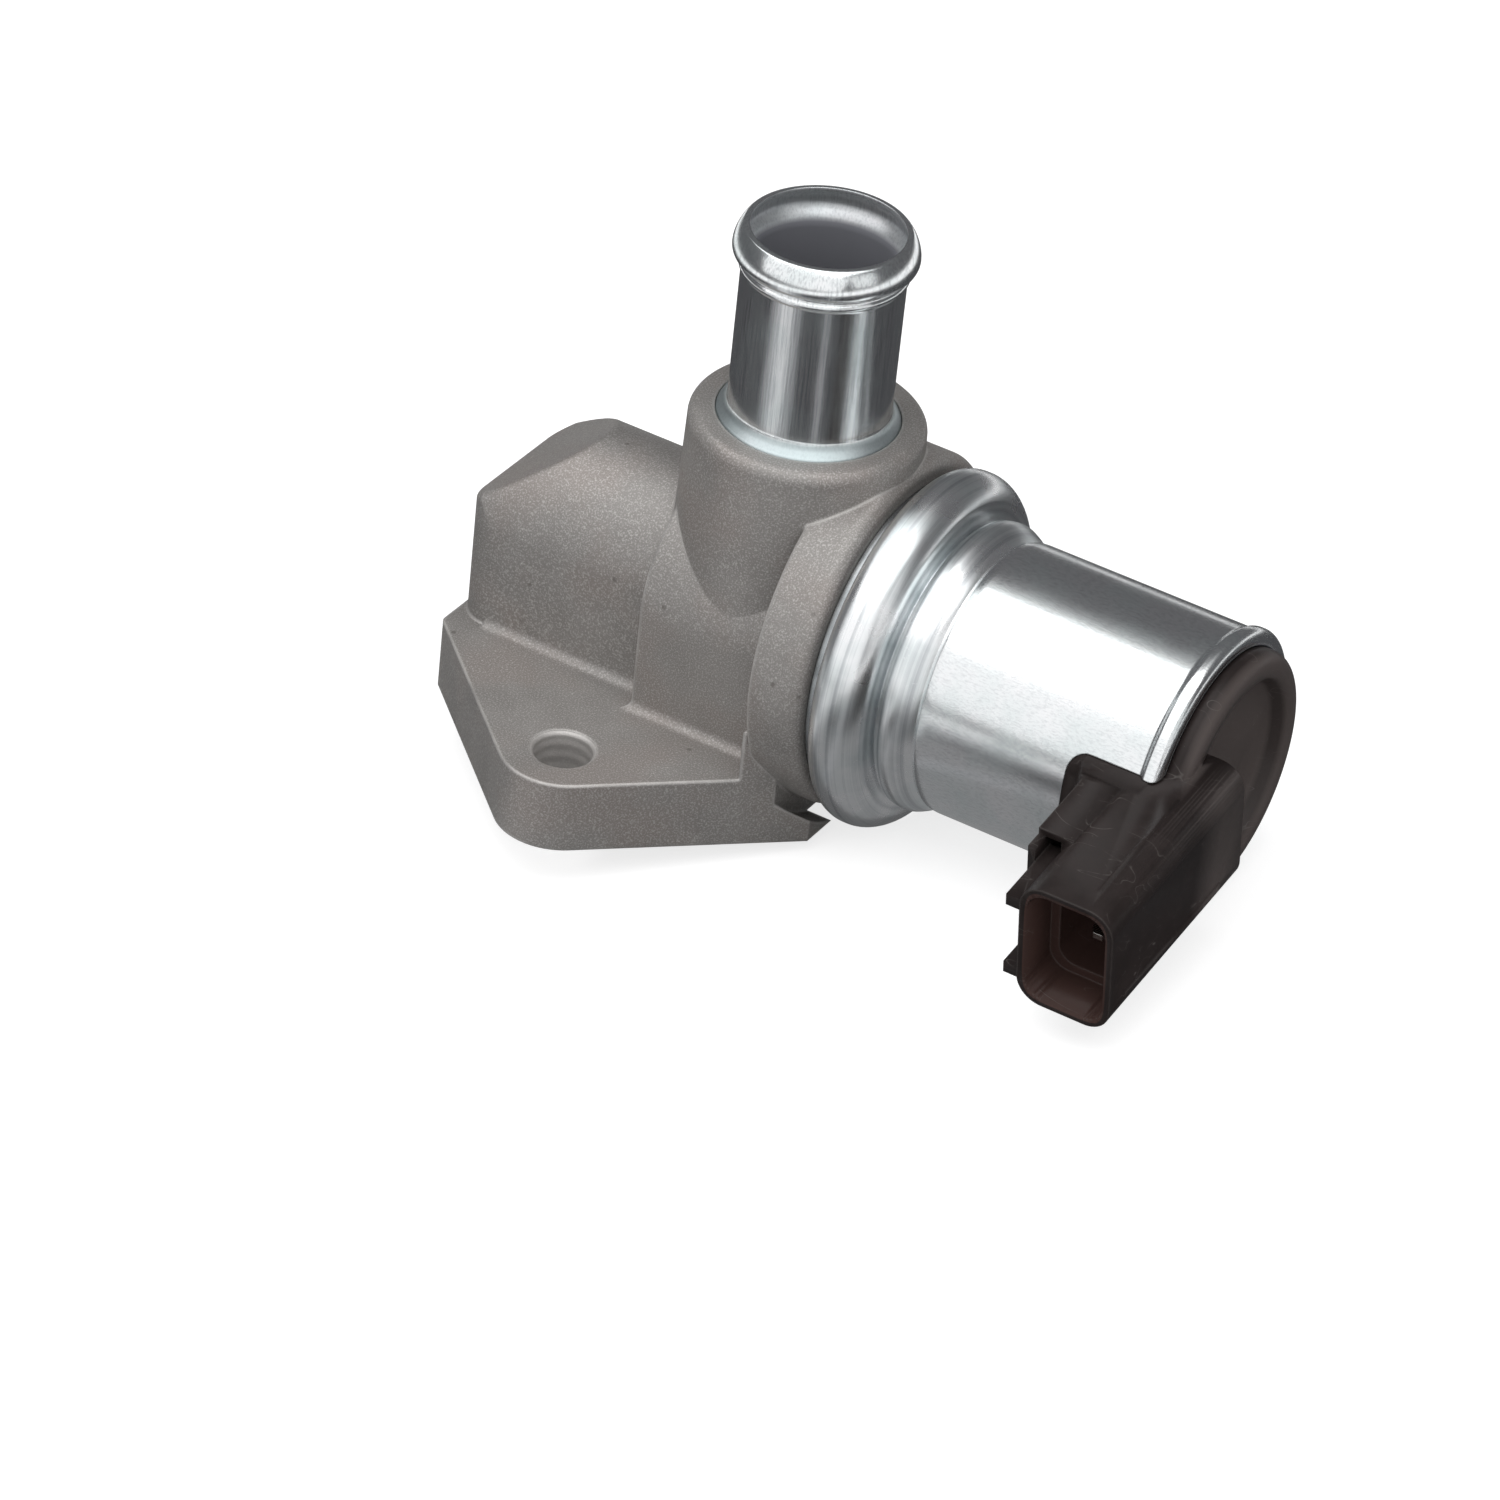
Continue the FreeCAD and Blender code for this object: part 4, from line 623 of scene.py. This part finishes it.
canShape = {
    "steps": 160, "segments": 10, "smooth": 35,
    "corners": [
        (28.2, 19.75, 0.15), (28.1, 21.0, 0.35), (29.0, 21.89, 1.0), (33.0, 21.89, 2.5),
        (34.0, 19.2, 1.3), (34.05, 17.2, 0.7), (34.5, 16.75, 0.25), (34.7, 17.35, 0.3),
        (35.7, 17.85, 0.9), (37.1, 17.7, 1.2), (39.0, 16.55, 0.5), (39.25, 16.3, 0.12),
        (39.5, 16.5, 0.2), (40.2, 16.66, 0.5), (67.4, 16.64, 0.3), (67.9, 17.1, 0.3),
        (69.1, 17.1, 0.45), (69.7, 16.3, 0.45), (69.7, 15.25, 0.15), (68.6, 15.17, 0),
        (68.6, 15.54, 0), (40.3, 15.54, 0.3), (39.2, 15.3, 0.3), (37.9, 15.4, 0.4),
        (36.9, 16.4, 0.5), (35.6, 16.5, 0.5), (34.6, 15.4, 0.4), (31.85, 15.3, 0),
        (31.85, 20.5, 0.3), (29.25, 20.5, 0.3), (29.25, 19.75, 0)],
    "notch": [(58.6, -8.9, 2.4), (58.6, 8.9, 2.4), (80, 8.9, 0), (80, -8.9, 0)],
    "notchFrom": 10, "notchTo": 24,
}


def solenoidCan():
    # Deep-drawn shell: a broad rolled rim round the front plate, a narrow valley, a
    # second roll, the barrel, and the end lip with the notch for the plug's shell
    piece = turnedPiece("rolledSolenoidCan", canShape, Vector((0, 0, axisHeight)),
                        Vector((1, 0, 0)), Vector((0, 0, 1)))
    cutAway(piece, canShape["notch"], canShape["notchFrom"], canShape["notchTo"])
    bpy.ops.object.shade_smooth_by_angle(angle=math.radians(canShape["smooth"]))
    return piece


capShape = {
    # the socket's mouth, opened to a thin wall, and what rounds the notch's two corners
    "mouth": [(65.7, -7.7, 2.6), (65.7, 7.7, 2.6), (75.8, 7.7, 2.6), (75.8, -7.7, 2.6)],
    "mouthFrom": 30.2, "mouthTo": 37,
    "corner": [(58.4, 6.4, 0), (58.4, 9.2, 0), (61.1, 9.2, 0), (61.1, 8.82, 0),
               (58.68, 8.82, 2.35), (58.68, 6.4, 0)],
    "cornerFrom": 9, "cornerTo": 18, "smooth": 30,
}


def endCap():
    # The moulded cap starts from a merged copy of its solid
    source = nodes["connector_cap"]
    piece = bpy.data.objects.new("mouldedEndCap", source.data.copy())
    bpy.context.scene.collection.objects.link(piece)
    bpy.ops.object.select_all(action="DESELECT")
    bpy.context.view_layer.objects.active = piece
    piece.select_set(True)
    bpy.ops.object.mode_set(mode="EDIT")
    bpy.ops.mesh.select_all(action="SELECT")
    bpy.ops.mesh.remove_doubles(threshold=mergeReach)
    bpy.ops.object.mode_set(mode="OBJECT")
    cutAway(piece, capShape["mouth"], capShape["mouthFrom"], capShape["mouthTo"])
    for side in (1, -1):
        corner = [(along, up * side, reach) for along, up, reach in capShape["corner"]]
        cutAway(piece, corner, capShape["cornerFrom"], capShape["cornerTo"])
    bpy.ops.object.shade_smooth_by_angle(angle=math.radians(capShape["smooth"]))
    return piece


for build, node, slot in ((hoseNipple, "hose_nipple", "zinc_steel_tube"),
                          (solenoidCan, "solenoid_can", "zinc_steel_can"),
                          (endCap, "connector_cap", "cap_plastic")):
    piece = build()
    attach(piece, "valve_housing")
    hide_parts(node)
    dressPiece(piece, looks[slot])
    print("made", piece.name, "with", len(piece.data.polygons), "faces")


cameraSet = {
    "place": (0.368086, -0.669933, 0.513425),
    "turn": (55.7136, -5.2021, 31.6795),
    "lens": 186.454, "sensor": 36.0, "near": 0.05, "far": 20.0,
}


def addCamera():
    data = bpy.data.cameras.new("photoCamera")
    data.lens = cameraSet["lens"]
    data.sensor_width = cameraSet["sensor"]
    data.clip_start = cameraSet["near"]
    data.clip_end = cameraSet["far"]
    camera = bpy.data.objects.new("photoCamera", data)
    camera.location = cameraSet["place"]
    camera.rotation_euler = [math.radians(angle) for angle in cameraSet["turn"]]
    bpy.context.scene.collection.objects.link(camera)
    bpy.context.scene.camera = camera


floorSet = {
    "normal": (-0.11915, -0.05429, 0.99139),  # the valve leans on its can and its flange
    "drop": -3.75 * mm, "radius": 0.55, "colour": "#b4b4b4", "lift": 0.74,
}


def standOnFloor(piece, height):
    # Lays a flat piece, drawn on the XY plane, on the leaning floor
    normal = Vector(floorSet["normal"]).normalized()
    piece.rotation_mode = "QUATERNION"
    piece.rotation_quaternion = Vector((0, 0, 1)).rotation_difference(normal)
    piece.location = normal * (floorSet["drop"] + height)
    bpy.ops.object.transform_apply()


def addFloor():
    bpy.ops.object.select_all(action="DESELECT")
    bpy.ops.mesh.primitive_circle_add(vertices=96, radius=floorSet["radius"],
                                      fill_type="NGON")
    floor = bpy.context.object
    floor.name = "paleFloor"
    standOnFloor(floor, 0)
    # Matt paint, which the camera and the shiny pieces see lifted to a pale backdrop
    material, tree = newMaterial("paleFloorPaint")
    matt = addNode(tree, "BsdfDiffuse", None, {"Color": floorSet["colour"]})
    glow = addNode(tree, "Emission", None, {"Strength": floorSet["lift"]})
    lifted = addNode(tree, "AddShader", None, [matt, glow])
    path = addNode(tree, "LightPath")
    seen = path.outputs["Is Camera Ray"]
    for ray in ("Is Glossy Ray", "Is Transmission Ray"):
        seen = addNode(tree, "Math", {"operation": "MAXIMUM"}, [seen, path.outputs[ray]])
    shown = addNode(tree, "MixShader", None, [seen, matt, lifted])
    addNode(tree, "OutputMaterial", None, {"Surface": shown})
    dressPiece(floor, material)


cardSet = {
    # Grey cards laid round the valve, which show only in its metal. Each one: first and
    # last angle round the upright axis, inner and outer radius in mm, and its grey
    "height": 0.4 * mm, "steps": 72,
    "cards": [(-180, 180, 0.1, 36, "#616162"), (-42, 234, 36, 72, "#8a8a8b"),
              (-42, 234, 72, 210, "#4d4d4f"), (-80, -50, 36, 72, "#8a8a8b"),
              (-80, -50, 72, 210, "#4d4d4f"), (-50, -42, 36, 210, "#9a9a9c"),
              (-92, -80, 36, 210, "#98989a"), (-114, -92, 36, 210, "#d3d3d4"),
              (-126, -114, 36, 210, "#98989a")],
}


def addCards():
    for first, last, inner, outer, grey in cardSet["cards"]:
        side = Vector((math.cos(math.radians(first)), math.sin(math.radians(first)), 0))
        card = startPoint("greyCard", side * inner * mm)
        bpy.ops.mesh.extrude_region_move(TRANSFORM_OT_translate={
            "value": side * (outer - inner) * mm})
        bpy.ops.mesh.select_all(action="SELECT")
        bpy.ops.mesh.spin(steps=cardSet["steps"], angle=math.radians(first - last),
                          center=(0, 0, 0), axis=(0, 0, 1))
        bpy.ops.object.mode_set(mode="OBJECT")
        standOnFloor(card, cardSet["height"])
        material, tree = newMaterial("greyCardPaper")
        paper = addNode(tree, "Emission", None, {"Color": grey})
        addNode(tree, "OutputMaterial", None, {"Surface": paper})
        dressPiece(card, material)
        card.visible_camera = False
        card.visible_diffuse = False
        card.visible_shadow = False


lampSet = {
    # name: place, aim, width, height, power in watts
    "overheadSoftbox": ((-0.04, -0.225, 0.72), (-0.04, -0.226, 0), 1.50, 0.79, 6.9),
    "frontSoftbox": ((0.03, -0.76, 0.37), (0.0, 0, 0.03), 2.00, 0.78, 4.7),
    "rightSoftbox": ((0.78, -0.16, 0.34), (0.02, 0, 0.03), 0.45, 0.45, 0.5),
}


def addLamps():
    for name, (place, aim, width, height, power) in lampSet.items():
        data = bpy.data.lights.new(name, "AREA")
        data.shape = "RECTANGLE"
        data.size = width
        data.size_y = height
        data.energy = power
        lamp = bpy.data.objects.new(name, data)
        lamp.location = place
        lamp.rotation_mode = "QUATERNION"
        lamp.rotation_quaternion = (Vector(aim) - Vector(place)).to_track_quat("-Z", "Y")
        lamp.visible_camera = False
        bpy.context.scene.collection.objects.link(lamp)


worldSet = {"above": "#d6d6d6", "below": "#646466", "low": 0.80, "high": 0.97}


def addWorld():
    # A plain room: grey to well above the horizon, paler overhead
    world = bpy.data.worlds.new("studioRoom")
    bpy.context.scene.world = world
    world.use_nodes = True
    tree = world.node_tree
    tree.nodes.clear()
    coords = addNode(tree, "TexCoord")
    ray = addNode(tree, "SeparateXYZ", None, [coords.outputs["Generated"]])
    overhead = addNode(tree, "MapRange", None,
                       [ray.outputs["Z"], worldSet["low"], worldSet["high"]])
    room = layColours(tree, worldSet, "below", [(overhead, 1, "above")])
    lit = addNode(tree, "Background", None, {"Color": room})
    addNode(tree, "OutputWorld", None, {"Surface": lit})


addCamera()
addFloor()
addCards()
addLamps()
addWorld()
bpy.context.scene.view_settings.view_transform = "Standard"
print("set the camera, the floor and the lamps")
